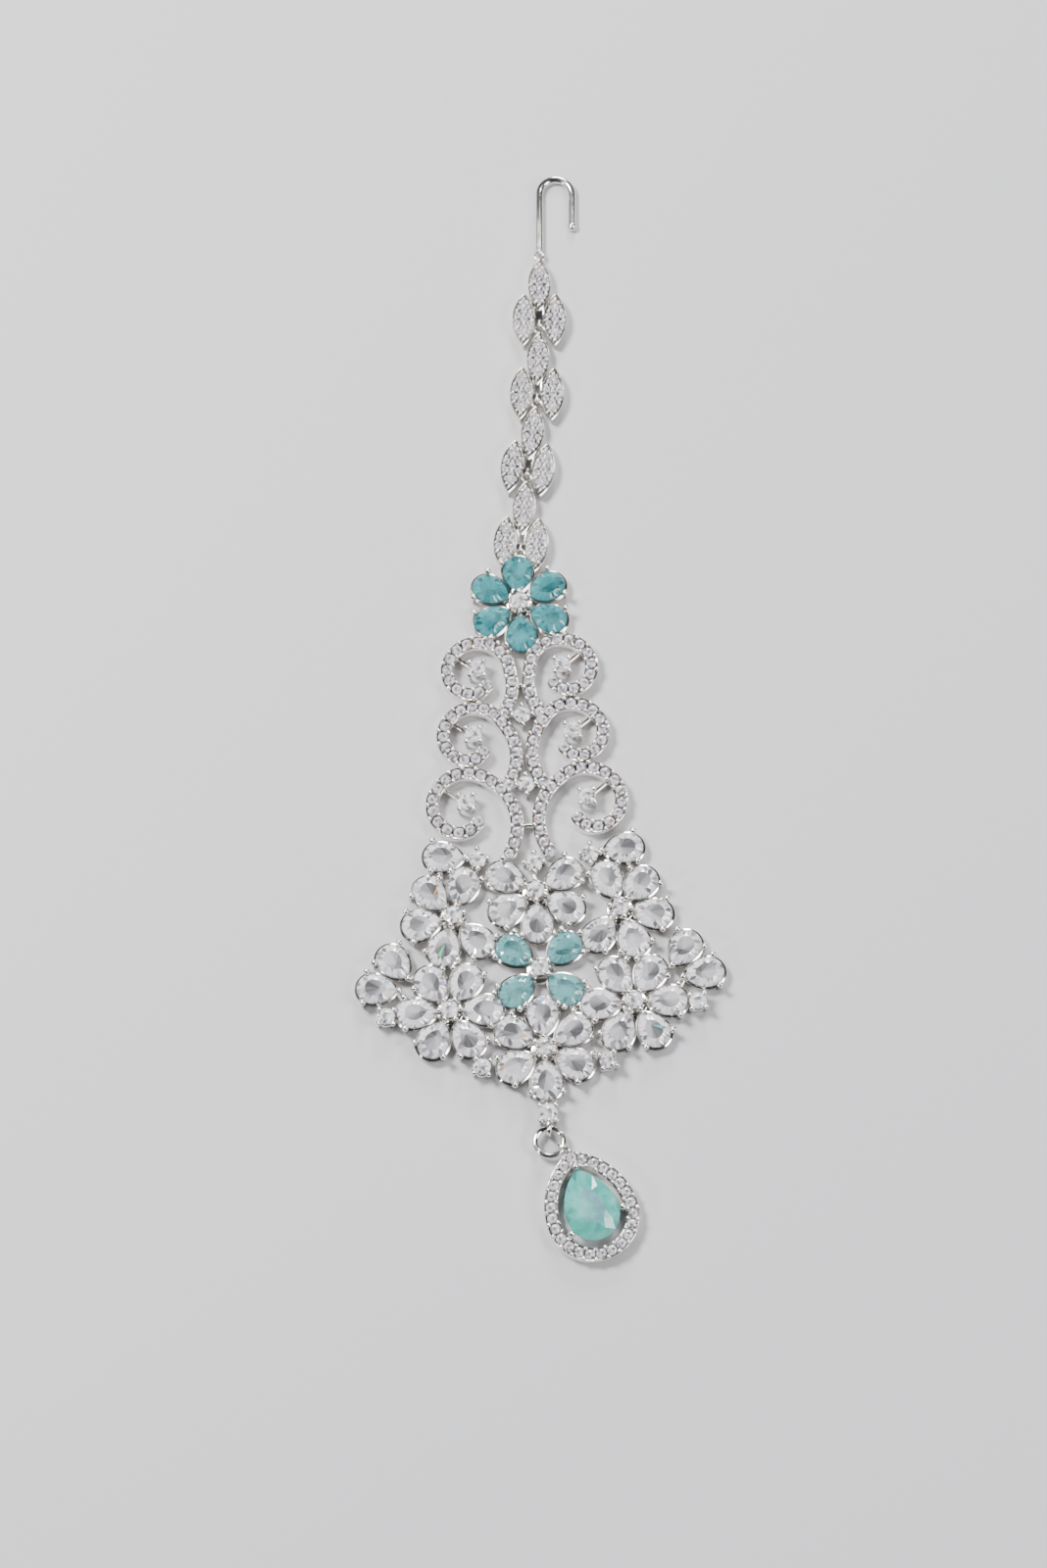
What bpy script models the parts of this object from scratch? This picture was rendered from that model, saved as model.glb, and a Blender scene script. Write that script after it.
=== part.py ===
"""Maang tikka (forehead pendant) of silver-coloured metal set with clear and aqua cut stones.

It lies face up. +Y runs along it toward the hook, +Z out of its front, and X across it.
The origin is under the middle of the fan's four-petalled flower, at the back of the piece.
Sizes are in millimetres and become metres when a mesh is made.
"""
import math
from collections import namedtuple

import bmesh
import bpy
from mathutils import Matrix, Vector
from mathutils.geometry import delaunay_2d_cdt

MM = 0.001
PLAN_TOLERANCE = 0.0005
HEIGHT_TOLERANCE = 1e-6
FLAT_ANGLE = 0.002

# Finishes
Finish = namedtuple("Finish", "name colour roughness metallic")
SILVER = Finish("silver", (0.82, 0.82, 0.84), 0.18, 1.0)
CLEAR = Finish("clear", (0.86, 0.86, 0.9), 0.05, 0.0)
AQUA = Finish("aqua", (0.25, 0.6, 0.58), 0.12, 0.0)

# Cut stones
PEAR_LENGTH = 5.2
PEAR_WIDTH = 4.0
ROUND_DIAMETER = 2.25
DROP_LENGTH = 9.7
DROP_WIDTH = 7.0
DROP_ROUND_DIAMETER = 2.5
CROWN_HEIGHT = 0.65
PAVILION_DEPTH = 1.4
DROP_CROWN_HEIGHT = 1.1
DROP_PAVILION_DEPTH = 2.0
ROUND_CROWN_HEIGHT = 0.4
TABLE_SHARE = 0.52
TABLE_SHIFT = 0.25
PEAR_FLANK_STEPS = 2
PEAR_END_STEPS = 6

# Settings, measured up from the surface that the back lies on
COLLAR_HEIGHT = 1.3
COLLAR_OUTSIDE = 0.25
COLLAR_INSIDE = 0.2
SEAT_GAP = 0.4
CUP_SHARE = 0.8
CENTRE_LIFT = 2.7
EDGE_LIFT = 2.0
PANEL_LIFT = 2.2
COLLAR_END_STEPS = 4
ROUND_SIDES = 8

# Prongs: a post that swells into a ball
PRONG_SIDES = 4
PRONG_RADIUS = 0.27
PRONG_BALL_RADIUS = 0.46
PRONG_BALL_HEIGHT = 0.38
PEAR_PRONG_ANGLE = 65.0
PEAR_PRONG_OFFSET = 0.35

# Flowers: distance from a flower's middle to the tips of its petals
PETAL_TIP = 1.75
HEART_PETAL_TIP = 1.55
FLOWER_BASE_RADIUS = 1.85
STRUT_REACH = 0.8
STRUT_WIDTH = 0.6
CROWN_TIE = 2.5

# Scroll panel
SCROLL_BAR_WIDTH = 1.8
SCROLL_BAR_HEIGHT = 1.7
SCROLL_STEP = 22.0
PANEL_X = -0.5
STEM_POWER = 1.6
STRIP_NOSE_REACH = 0.35
STRIP_NOSE_HALF = 0.25
TAIL_FROM = 165.0
CROSS_BAR_WIDTH = 0.5
PANEL_ROUND_BASE = 1.75
CURL_STRUT_ANGLE = 142.0
SEAM_GAP = 0.3

# Chain of leaf links
LEAF_LENGTH = 8.1
LEAF_WIDTH = 3.3
LEAF_HEIGHT = 1.6
LEAF_SPREAD = 4.36
LEAF_RISE = 5.35
LEAF_STEPS = 4
LINK_HEIGHT = 0.85
EYE_HOLE_RADIUS = 0.42
EYE_WIRE = 0.36
EYE_THICKNESS = 0.4
EYE_CLEARANCE = 0.2
LOOP_RADIUS = 0.64
LOOP_WIRE_RADIUS = 0.19
LOOP_SEGMENTS = 10
LOOP_SIDES = 5
BRIDGE_WIDTH = 0.8
BRIDGE_HEIGHT = 1.2
BRIDGE_REACH = 1.0
LOOP_BITE = 0.2

# Hook at the end of the chain
HOOK_WIRE = 1.1
HOOK_SHANK = 8.5
HOOK_BEND_RADIUS = 2.3
HOOK_RETURN = 5.0
HOOK_STEPS = 8

# Drop
DROP_X = 5.05
DROP_Y = -33.4
DROP_TURN = 287.1
DROP_GIRDLE = 2.4
HALO_RADIUS = 5.2
HALO_TIP = 8.1
HALO_END_STEPS = 12
HALO_FLANK_STEPS = 6
DROP_PRONG_TURNS = (83.0, -65.0, 180.0)
DROP_PRONG_OFFSET = 0.42
DROP_ROUND_Y = -19.6
DROP_RING_GAP = 0.22
DROP_RING_RADIUS = 1.87
DROP_RING_WIRE_RADIUS = 0.41
DROP_RING_HEIGHT = 1.35
DROP_RING_SEGMENTS = 14
DROP_RING_SIDES = 6
DROP_LOOP_LENGTH = 1.15
DROP_LOOP_RADIUS = 0.95
DROP_LOOP_WIRE_RADIUS = 0.27

Flower = namedtuple("Flower", "name x y tip petals")
FLOWERS = [
    Flower("heart", 0.0, 0.0, HEART_PETAL_TIP, (39, 141, 221, 319)),
    Flower("upper", 0.0, 10.7, PETAL_TIP, (30, 150, 210, 270, 330)),
    Flower("lower", 0.0, -10.8, PETAL_TIP, (30, 90, 150, 210, 270, 330)),
    Flower("left", -11.05, 7.8, PETAL_TIP, (71, 131, 191, 251, 311)),
    Flower("lower_left", -12.15, -5.15, PETAL_TIP, (0, 60, 120, 180, 240, 300)),
]
# Prong angles of petals whose neighbours stand close: flower, petal number, the two angles
ProngTurn = namedtuple("ProngTurn", "flower petal upper lower")
PRONG_TURNS = [
    ProngTurn("left", 2, 65.0, -85.0),
    ProngTurn("left", 4, 74.0, -71.0),
    ProngTurn("lower_left", 1, 65.0, -80.0),
    ProngTurn("lower_left", 2, 78.0, -49.0),
    ProngTurn("lower_left", 3, 85.0, -80.0),
]
MIRRORED_FLOWERS = {"left": "right", "lower_left": "lower_right"}
TOP_FLOWER = Flower("top", 0.0, 51.8, PETAL_TIP, (30, 90, 150, 210, 270, 330))

# Single pears and rounds on the left edge of the fan, mirrored to the right
EdgePear = namedtuple("EdgePear", "name x y turn")
EDGE_PEARS = [
    EdgePear("shoulder", -12.0, 16.2, 175.0),
    EdgePear("side", -19.15, 1.9, 127.0),
    EdgePear("corner", -21.6, -1.6, 171.0),
]
# Ties from the tips of single pears to petals of the lower side flowers
EdgeTie = namedtuple("EdgeTie", "pear petal")
EDGE_TIES = [EdgeTie("side", 3), EdgeTie("corner", 4)]
EdgeRound = namedtuple("EdgeRound", "name x y turn")
EDGE_ROUNDS = [
    EdgeRound("shoulder", -7.5, 15.65, 45.0),
    EdgeRound("corner", -20.5, -5.5, 40.0),
    EdgeRound("lower", -8.25, -12.95, 35.0),
]
CROWN_ROUND = EdgeRound("crown", 0.0, 14.75, 90.0)

# Curls of the scroll panel: the right one of each tier, mirrored about the panel's axis
Curl = namedtuple("Curl", "x y radius stem_from foot_at foot_stretch tail_at tail_shrink stone_x stone_y")
CURLS = [
    Curl(5.6, 42.3, 4.2, 5.0, -63.0, 0.66, 300.0, 0.46, 5.75, 42.5),
    Curl(6.55, 32.9, 4.25, 30.0, -58.4, 0.91, 300.0, 0.46, 6.7, 33.1),
    Curl(7.95, 23.15, 4.75, 50.0, -53.0, 0.84, 302.0, 0.46, 8.1, 23.6),
]
PANEL_ROUNDS_Y = (35.6, 25.7)
CROSS_BARS_Y = (40.2, 20.2)

# Lean to the right of each leaf link, from the flower up
LINK_LEANS = (7.5, 10.0, 5.0, 3.0)
HOOK_LEAN = 3.0
TOP_EYE_X = 0.5

# An area of metal between two heights, and a riser that stands on one
Area = namedtuple("Area", "outline low high")
Riser = namedtuple("Riser", "outline base rings peak")
Pear = namedtuple("Pear", "name x y turn")
Round = namedtuple("Round", "x y turn radius lift")


def turned(points, angle, x=0.0, y=0.0):
    """Points turned by an angle in degrees, then moved."""
    c = math.cos(math.radians(angle))
    s = math.sin(math.radians(angle))
    return [(x + c * px - s * py, y + s * px + c * py) for px, py in points]


def polar(radius, angle, x=0.0, y=0.0):
    return (x + radius * math.cos(math.radians(angle)), y + radius * math.sin(math.radians(angle)))


def regular(sides, radius, x=0.0, y=0.0, turn=0.0):
    """A regular outline with the middle of one side toward the turn angle."""
    step = 360.0 / sides
    return [polar(radius, turn + (i + 0.5) * step, x, y) for i in range(sides)]


def pear_outline(tip, radius, grow, flank_steps, end_steps):
    """A pear from its tip on -X: two flank arcs that run into a half circle about (0, 0)."""
    flank = (tip * tip + radius * radius) / (2 * radius)
    rise = flank - radius
    reach = math.sqrt((flank + grow) ** 2 - rise ** 2)
    swing = math.atan2(reach, rise)
    lower = []
    for i in range(flank_steps):
        a = swing * (1 - i / flank_steps)
        lower.append((-(flank + grow) * math.sin(a), rise - (flank + grow) * math.cos(a)))
    end = [polar(radius + grow, -90 + 180 * i / end_steps) for i in range(end_steps + 1)]
    upper = [(x, -y) for x, y in reversed(lower[1:])]
    return lower + end + upper


def stone_outline(pear, grow, flank_steps=PEAR_FLANK_STEPS, end_steps=PEAR_END_STEPS):
    radius = PEAR_WIDTH / 2
    points = pear_outline(PEAR_LENGTH - radius, radius, grow, flank_steps, end_steps)
    return turned(points, pear.turn, pear.x, pear.y)


def collar_outline(pear, grow):
    """A pear's outline whose round end is drawn round its circle, so that prongs stand on it."""
    radius = PEAR_WIDTH / 2
    points = pear_outline(PEAR_LENGTH - radius, radius, grow, PEAR_FLANK_STEPS, COLLAR_END_STEPS)
    swell = 1 / math.cos(math.radians(90 / COLLAR_END_STEPS))
    points = [(x * swell, y * swell) if x > -0.01 else (x, y) for x, y in points]
    return turned(points, pear.turn, pear.x, pear.y)


def bar(start, end, width):
    """A straight bar's outline between two points."""
    length = math.dist(start, end)
    angle = math.degrees(math.atan2(end[1] - start[1], end[0] - start[0]))
    w = width / 2
    return turned([(0, -w), (length, -w), (length, w), (0, w)], angle, *start)


def strip(points, width):
    """A strip of even width along a line of points, with a three-sided end."""
    left, right = [], []
    for i, (x, y) in enumerate(points):
        ahead = points[min(i + 1, len(points) - 1)]
        behind = points[max(i - 1, 0)]
        length = math.dist(ahead, behind)
        nx = -(ahead[1] - behind[1]) / length * width / 2
        ny = (ahead[0] - behind[0]) / length * width / 2
        left.append((x + nx, y + ny))
        right.append((x - nx, y - ny))
    outline = right + left[::-1]
    for last, before in ((points[-1], points[-2]), (points[0], points[1])):
        length = math.dist(last, before)
        ux, uy = (last[0] - before[0]) / length, (last[1] - before[1]) / length
        reach = width * STRIP_NOSE_REACH
        nose = [(last[0] + reach * ux - side * width * STRIP_NOSE_HALF * uy,
                 last[1] + reach * uy + side * width * STRIP_NOSE_HALF * ux) for side in (-1, 1)]
        if last is points[-1]:
            outline[len(right):len(right)] = nose
        else:
            outline += nose
    return outline


def prong(x, y, turn, radius, ball, base, middle):
    """A post from the base height that swells to a ball about its middle height."""
    rings = [(middle, regular(PRONG_SIDES, ball, x, y, turn))]
    peak = (x, y, middle + PRONG_BALL_HEIGHT)
    return Riser(regular(PRONG_SIDES, radius, x, y, turn), base, rings, peak)


def pear_girdle():
    return COLLAR_HEIGHT + SEAT_GAP


def pear_parts(pear, prong_angles=(PEAR_PRONG_ANGLE, -PEAR_PRONG_ANGLE), tip_prong=False):
    """Metal under one pear: its collar, the opening in it and its prongs."""
    area = Area(collar_outline(pear, COLLAR_OUTSIDE), 0.0, COLLAR_HEIGHT)
    opening = stone_outline(pear, -COLLAR_INSIDE, 1, COLLAR_END_STEPS)
    middle = pear_girdle() + PRONG_BALL_RADIUS
    out = PEAR_WIDTH / 2 + PEAR_PRONG_OFFSET
    risers = []
    for angle in prong_angles:
        px, py = polar(out, pear.turn + angle, pear.x, pear.y)
        risers.append(prong(px, py, pear.turn + angle + 180, PRONG_RADIUS, PRONG_BALL_RADIUS,
                            COLLAR_HEIGHT, middle))
    if tip_prong:
        out = PEAR_LENGTH - PEAR_WIDTH / 2 + PEAR_PRONG_OFFSET
        px, py = polar(out, pear.turn + 180, pear.x, pear.y)
        risers.append(prong(px, py, pear.turn, PRONG_RADIUS, PRONG_BALL_RADIUS, COLLAR_HEIGHT, middle))
    return [area], [opening], risers


def round_parts(stone, base_radius, base=COLLAR_HEIGHT):
    """A cup with its round stone fused in. The stone's girdle is at its lift height."""
    def at(r):
        return regular(ROUND_SIDES, r, stone.x, stone.y, stone.turn)
    rings = [(stone.lift, at(stone.radius)), (stone.lift + ROUND_CROWN_HEIGHT, at(stone.radius * TABLE_SHARE))]
    cup = Riser(at(stone.radius * CUP_SHARE), base, rings, None)
    return [Area(at(base_radius), 0.0, COLLAR_HEIGHT)], [], [cup]


def flower_pears(flower):
    out = flower.tip + PEAR_LENGTH - PEAR_WIDTH / 2
    pears = []
    for i, angle in enumerate(flower.petals):
        x, y = polar(out, angle, flower.x, flower.y)
        pears.append(Pear(f"petal_{flower.name}_{i + 1}", x, y, angle))
    return pears


def flower_round(flower):
    return Round(flower.x, flower.y, flower.petals[0], ROUND_DIAMETER / 2, CENTRE_LIFT)


def mirrored_flower(flower, name):
    angles = tuple((180 - a) % 360 for a in flower.petals)
    return Flower(name, -flower.x, flower.y, flower.tip, angles)


def edge_pear(row, name, side):
    """The named single pear on one side, with its circle's middle as its place."""
    shift = PEAR_LENGTH / 2 - PEAR_WIDTH / 2
    x, y = polar(shift, row.turn, row.x, row.y)
    if side > 0:
        return Pear(name, -x, y, 180 - row.turn)
    return Pear(name, x, y, row.turn)


def edge_round(row, side=-1):
    x = -row.x if side > 0 else row.x
    turn = 180 - row.turn if side > 0 else row.turn
    return Round(x, row.y, turn, ROUND_DIAMETER / 2, EDGE_LIFT)


def strut_between(a, ra, b, rb):
    """A tie between two settings whose rims are near each other."""
    gap = math.dist(a, b) - ra - rb
    if 0 < gap < STRUT_REACH:
        return [Area(bar(a, b, STRUT_WIDTH), 0.0, COLLAR_HEIGHT)]
    return []


def merged(parts):
    areas, openings, risers = [], [], []
    for a, o, r in parts:
        areas += a
        openings += o
        risers += r
    return areas, openings, risers


def relief(areas, openings=(), risers=(), pockets=(), ties=()):
    """A solid from areas in plan, as a bmesh in millimetres.

    The plan is cut into cells. An opening empties its cells, save under ties and risers. A
    pocket raises the underside of its cells. A riser's rings stand on the cells in its outline.
    """
    kinds = [a.outline for a in areas], list(openings), [r.outline for r in risers]
    kinds += [p.outline for p in pockets], [t.outline for t in ties]
    outlines = [outline for kind in kinds for outline in kind]
    first_opening = len(areas)
    first_riser = first_opening + len(openings)
    first_pocket = first_riser + len(risers)
    first_tie = first_pocket + len(pockets)
    points, faces = [], []
    for outline in outlines:
        faces.append(list(range(len(points), len(points) + len(outline))))
        points += [Vector(p) for p in outline]
    cut = delaunay_2d_cdt(points, [], faces, 1, PLAN_TOLERANCE, True)
    out_points, out_faces, from_points, from_faces = cut[0], cut[2], cut[3], cut[5]

    spans, owner = {}, {}
    for i, sources in enumerate(from_faces):
        opened = any(first_opening <= s < first_riser for s in sources)
        filled = [] if opened else [areas[s] for s in sources if s < first_opening]
        filled += [ties[s - first_tie] for s in sources if s >= first_tie]
        standing = [s - first_riser for s in sources if first_riser <= s < first_pocket]
        raised = [pockets[s - first_pocket].low for s in sources if first_pocket <= s < first_tie]
        if standing:
            owner[i] = standing[0]
            spans[i] = (0.0, risers[standing[0]].base)
        elif filled:
            low = max([min(a.low for a in filled)] + raised)
            high = max(a.high for a in filled)
            if low < high:
                spans[i] = (low, high)

    levels, sides = {}, {}
    for i, (low, high) in spans.items():
        face = out_faces[i]
        for k, v in enumerate(face):
            levels.setdefault(v, set()).update((low, high))
            sides[(v, face[(k + 1) % len(face)])] = i

    bm = bmesh.new()
    made = {}

    def vert(v, z):
        if (v, z) not in made:
            made[(v, z)] = bm.verts.new((out_points[v][0], out_points[v][1], z))
        return made[(v, z)]

    for i, (low, high) in spans.items():
        face = out_faces[i]
        bm.faces.new([vert(v, low) for v in reversed(face)])
        if i not in owner:
            bm.faces.new([vert(v, high) for v in face])
    for (a, b), i in sides.items():
        low, high = spans[i]
        walls = [(low, high)]
        if (b, a) in sides:
            low2, high2 = spans[sides[(b, a)]]
            walls = [(low, min(high, low2)), (max(low, high2), high)]
        for z0, z1 in walls:
            if z1 - z0 > HEIGHT_TOLERANCE:
                rise = sorted(z for z in levels[b] if z0 <= z <= z1)
                fall = sorted((z for z in levels[a] if z0 <= z <= z1), reverse=True)
                bm.faces.new([vert(b, z) for z in rise] + [vert(a, z) for z in fall])

    corner = {s: v for v, sources in enumerate(from_points) for s in sources}
    for k, riser in enumerate(risers):
        ahead = {a: b for (a, b), i in sides.items()
                 if owner.get(i) == k and owner.get(sides.get((b, a))) != k}
        count = len(riser.outline)
        corners = [corner[faces[first_riser + k][n]] for n in range(count)]
        rings = [[bm.verts.new((x, y, z)) for x, y in ring] for z, ring in riser.rings]
        for n in range(count):
            chain = [corners[n]]
            while chain[-1] != corners[(n + 1) % count]:
                chain.append(ahead.pop(chain[-1]))
            lower = [vert(v, riser.base) for v in chain]
            bm.faces.new(lower + [rings[0][(n + 1) % count], rings[0][n]])
        for under, over in zip(rings, rings[1:]):
            for n in range(count):
                m = (n + 1) % count
                bm.faces.new([under[n], under[m], over[m], over[n]])
        if riser.peak:
            top = bm.verts.new(riser.peak)
            for n in range(count):
                bm.faces.new([rings[-1][n], rings[-1][(n + 1) % count], top])
        else:
            bm.faces.new(rings[-1])
    bmesh.ops.dissolve_limit(bm, angle_limit=FLAT_ANGLE, verts=bm.verts[:], edges=bm.edges[:])
    return bm


def material(name, finish):
    """A piece's own material in one of the finishes."""
    made = bpy.data.materials.new(f"{name}_{finish.name}")
    made.use_nodes = True
    shader = made.node_tree.nodes["Principled BSDF"]
    shader.inputs["Base Color"].default_value = (*finish.colour, 1.0)
    shader.inputs["Roughness"].default_value = finish.roughness
    shader.inputs["Metallic"].default_value = finish.metallic
    made.diffuse_color = (*finish.colour, 1.0)
    return made


def add_object(name, bm, finish):
    """A named object from a bmesh in millimetres."""
    bm.transform(Matrix.Scale(MM, 4))
    bmesh.ops.triangulate(bm, faces=[f for f in bm.faces if len(f.verts) > 4])
    mesh = bpy.data.meshes.new(name)
    bm.to_mesh(mesh)
    bm.free()
    mesh.materials.append(material(name, finish))
    made = bpy.data.objects.new(name, mesh)
    bpy.context.collection.objects.link(made)
    return made


def stone(name, outline, middle, girdle, crown, pavilion, finish):
    """A cut stone: flat table, a ring of crown facets and a pavilion to one point."""
    bm = bmesh.new()
    edge = [bm.verts.new((x, y, girdle)) for x, y in outline]
    table = [bm.verts.new((middle[0] + (x - middle[0]) * TABLE_SHARE,
                           middle[1] + (y - middle[1]) * TABLE_SHARE, girdle + crown)) for x, y in outline]
    culet = bm.verts.new((*middle, girdle - pavilion))
    count = len(outline)
    for n in range(count):
        m = (n + 1) % count
        bm.faces.new([edge[n], edge[m], table[m], table[n]])
        bm.faces.new([edge[m], edge[n], culet])
    bm.faces.new(table)
    return add_object(name, bm, finish)


def pear_stone(pear, finish):
    middle = polar(TABLE_SHIFT * (PEAR_LENGTH - PEAR_WIDTH), pear.turn + 180, pear.x, pear.y)
    stone(pear.name, stone_outline(pear, 0.0), middle, pear_girdle(), CROWN_HEIGHT, PAVILION_DEPTH, finish)


def wire_loop(name, middle, length, radius, wire, segments, sides, turn, flat, finish):
    """A closed oval wire loop: upright along its turn angle, or lying flat."""
    bm = bmesh.new()
    rings = []
    for i in range(segments):
        a = 2 * math.pi * i / segments
        out = Vector((math.cos(a), 0.0, math.sin(a)))
        centre = Vector((length * math.cos(a), 0.0, radius * math.sin(a)))
        ring = []
        for k in range(sides):
            b = 2 * math.pi * (k + 0.5) / sides
            ring.append(centre + wire * (math.cos(b) * out + math.sin(b) * Vector((0, 1, 0))))
        rings.append(ring)
    tilt = Matrix.Rotation(math.radians(90), 4, "X") if flat else Matrix.Identity(4)
    place = Matrix.Translation(middle) @ Matrix.Rotation(math.radians(turn), 4, "Z") @ tilt
    verts = [[bm.verts.new(place @ p) for p in ring] for ring in rings]
    for i in range(segments):
        j = (i + 1) % segments
        for k in range(sides):
            m = (k + 1) % sides
            bm.faces.new([verts[i][k], verts[j][k], verts[j][m], verts[i][m]])
    bmesh.ops.recalc_face_normals(bm, faces=bm.faces[:])
    return add_object(name, bm, finish)


def join(target, loop):
    """Weld a wire loop onto a piece."""
    modifier = target.modifiers.new("weld_" + loop.name, "BOOLEAN")
    modifier.operation = "UNION"
    modifier.object = loop
    loop.hide_render = True
    loop.display_type = "WIRE"


def prong_turns(flower, petal):
    """The two prong angles of a petal, mirrored on a mirrored flower."""
    for row in PRONG_TURNS:
        if row.petal == petal and row.flower == flower:
            return (row.upper, row.lower)
        if row.petal == petal and MIRRORED_FLOWERS[row.flower] == flower:
            return (-row.upper, -row.lower)
    return (PEAR_PRONG_ANGLE, -PEAR_PRONG_ANGLE)


def flower_parts(flower):
    parts = [round_parts(flower_round(flower), FLOWER_BASE_RADIUS)]
    for i, pear in enumerate(flower_pears(flower)):
        parts.append(pear_parts(pear, prong_turns(flower.name, i + 1)))
    return merged(parts)


def all_fan_flowers():
    turned_over = [mirrored_flower(f, MIRRORED_FLOWERS[f.name]) for f in FLOWERS if f.name in MIRRORED_FLOWERS]
    return FLOWERS + turned_over


def drop_round():
    return Round(0.0, DROP_ROUND_Y, 45, DROP_ROUND_DIAMETER / 2, EDGE_LIFT)


def edge_stones():
    """The fan's single pears and its rounds outside the flowers."""
    singles, rounds = [], [edge_round(CROWN_ROUND), drop_round()]
    for side, word in ((-1, "left"), (1, "right")):
        singles += [edge_pear(row, f"pear_{word}_{row.name}", side) for row in EDGE_PEARS]
        rounds += [edge_round(row, side) for row in EDGE_ROUNDS]
    return singles, rounds


def fan_parts():
    """Areas, openings and risers of the whole fan."""
    flowers = all_fan_flowers()
    singles, rounds = edge_stones()
    parts = [flower_parts(f) for f in flowers]
    parts += [pear_parts(p, tip_prong=True) for p in singles]
    parts += [round_parts(r, r.radius) for r in rounds]
    areas, openings, risers = merged(parts)
    pears = [pear for f in flowers for pear in flower_pears(f)] + singles
    rims = [((p.x, p.y), PEAR_WIDTH / 2) for p in pears]
    rims += [((r.x, r.y), r.radius) for r in rounds]
    for i, (a, ra) in enumerate(rims):
        for b, rb in rims[i + 1:]:
            areas += strut_between(a, ra, b, rb)
    named = {p.name: p for p in pears}
    for word in ("left", "right"):
        for tie in EDGE_TIES:
            single = named[f"pear_{word}_{tie.pear}"]
            petal = named[f"petal_lower_{word}_{tie.petal}"]
            tip = polar(PEAR_LENGTH - PEAR_WIDTH / 2, single.turn + 180, single.x, single.y)
            areas.append(Area(bar(tip, (petal.x, petal.y), STRUT_WIDTH), 0.0, COLLAR_HEIGHT))
    crown = (CROWN_ROUND.x, CROWN_ROUND.y)
    areas.append(Area(bar((0.0, crown[1] - CROWN_TIE), crown, STRUT_WIDTH), 0.0, COLLAR_HEIGHT))
    return areas, openings, risers


def fan_setting(finish):
    """The fan's metal, with its round stones and prongs, and the loop that holds the drop's ring."""
    setting = add_object("fan_setting", relief(*fan_parts()), finish)
    middle = (0.0, drop_loop_y(), DROP_RING_HEIGHT)
    join(setting, wire_loop("fan_loop", middle, DROP_LOOP_LENGTH, DROP_LOOP_RADIUS,
                            DROP_LOOP_WIRE_RADIUS, LOOP_SEGMENTS, LOOP_SIDES, 90.0, False, finish))


def clear_of(pears, rounds, risers):
    """Openings that keep one piece the seam gap away from another's collars, cups and prongs."""
    openings = [collar_outline(p, COLLAR_OUTSIDE + SEAM_GAP) for p in pears]
    openings += [regular(ROUND_SIDES, r.radius + SEAM_GAP, r.x, r.y, r.turn) for r in rounds]
    for riser in risers:
        x = sum(p[0] for p in riser.outline) / len(riser.outline)
        y = sum(p[1] for p in riser.outline) / len(riser.outline)
        openings.append(regular(ROUND_SIDES, PRONG_RADIUS + SEAM_GAP, x, y))
    return openings


def curl_line(curl, side):
    """A curl's centre line, from its foot over the arch to its tail."""
    points = []
    count = round((curl.tail_at - curl.foot_at) / SCROLL_STEP)
    for i in range(count + 1):
        a = curl.foot_at + (curl.tail_at - curl.foot_at) * i / count
        stem = max(0.0, (curl.stem_from - a) / (curl.stem_from - curl.foot_at))
        tail = max(0.0, (a - TAIL_FROM) / (curl.tail_at - TAIL_FROM))
        r = curl.radius * (1 + curl.foot_stretch * stem ** STEM_POWER - curl.tail_shrink * tail ** 2)
        x, y = polar(r, 180 - a, curl.x, curl.y)
        points.append((PANEL_X + side * x, y))
    return points


def scroll_panel(finish):
    """Six curls, their rounds and ties, the two centre rounds and the two cross bars."""
    parts, areas = [], []
    for curl in CURLS:
        for side in (-1, 1):
            areas.append(Area(strip(curl_line(curl, side), SCROLL_BAR_WIDTH), 0.0, SCROLL_BAR_HEIGHT))
            x = PANEL_X + side * curl.stone_x
            turn = 90 - side * (90 - CURL_STRUT_ANGLE)
            far = polar(curl.radius, 180 - turn, x, curl.stone_y)
            areas.append(Area(bar((x, curl.stone_y), far, STRUT_WIDTH), 0.0, COLLAR_HEIGHT))
            stone_round = Round(x, curl.stone_y, 45, ROUND_DIAMETER / 2, PANEL_LIFT)
            parts.append(round_parts(stone_round, ROUND_DIAMETER / 2, SCROLL_BAR_HEIGHT))
    for y in PANEL_ROUNDS_Y:
        middle = Round(PANEL_X, y, 0, ROUND_DIAMETER / 2, PANEL_LIFT)
        parts.append(round_parts(middle, PANEL_ROUND_BASE, SCROLL_BAR_HEIGHT))
    for y in CROSS_BARS_Y:
        ends = (PANEL_X - SCROLL_BAR_WIDTH, y), (PANEL_X + SCROLL_BAR_WIDTH, y)
        areas.append(Area(bar(*ends, CROSS_BAR_WIDTH), 0.0, COLLAR_HEIGHT))
    more, openings, risers = merged(parts)
    upper = [f for f in FLOWERS if f.name == "upper"][0]
    openings += clear_of(flower_pears(TOP_FLOWER), [], flower_parts(TOP_FLOWER)[2])
    openings += clear_of(flower_pears(upper), [edge_round(CROWN_ROUND)], flower_parts(upper)[2])
    openings += clear_of([], [], round_parts(edge_round(CROWN_ROUND), ROUND_DIAMETER / 2)[2])
    add_object("scroll_panel", relief(areas + more, openings, risers), finish)


def eye_parts(x, y):
    """A flat eye at link height."""
    outer = regular(ROUND_SIDES, EYE_HOLE_RADIUS + EYE_WIRE, x, y)
    half = EYE_THICKNESS / 2
    return (Area(outer, LINK_HEIGHT - half, LINK_HEIGHT + half),
            regular(ROUND_SIDES, EYE_HOLE_RADIUS, x, y))


def top_eye():
    """Middle of the eye on the top flower."""
    end = TOP_FLOWER.y + TOP_FLOWER.tip + PEAR_LENGTH + COLLAR_OUTSIDE
    return (TOP_EYE_X, end + EYE_HOLE_RADIUS)


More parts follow.
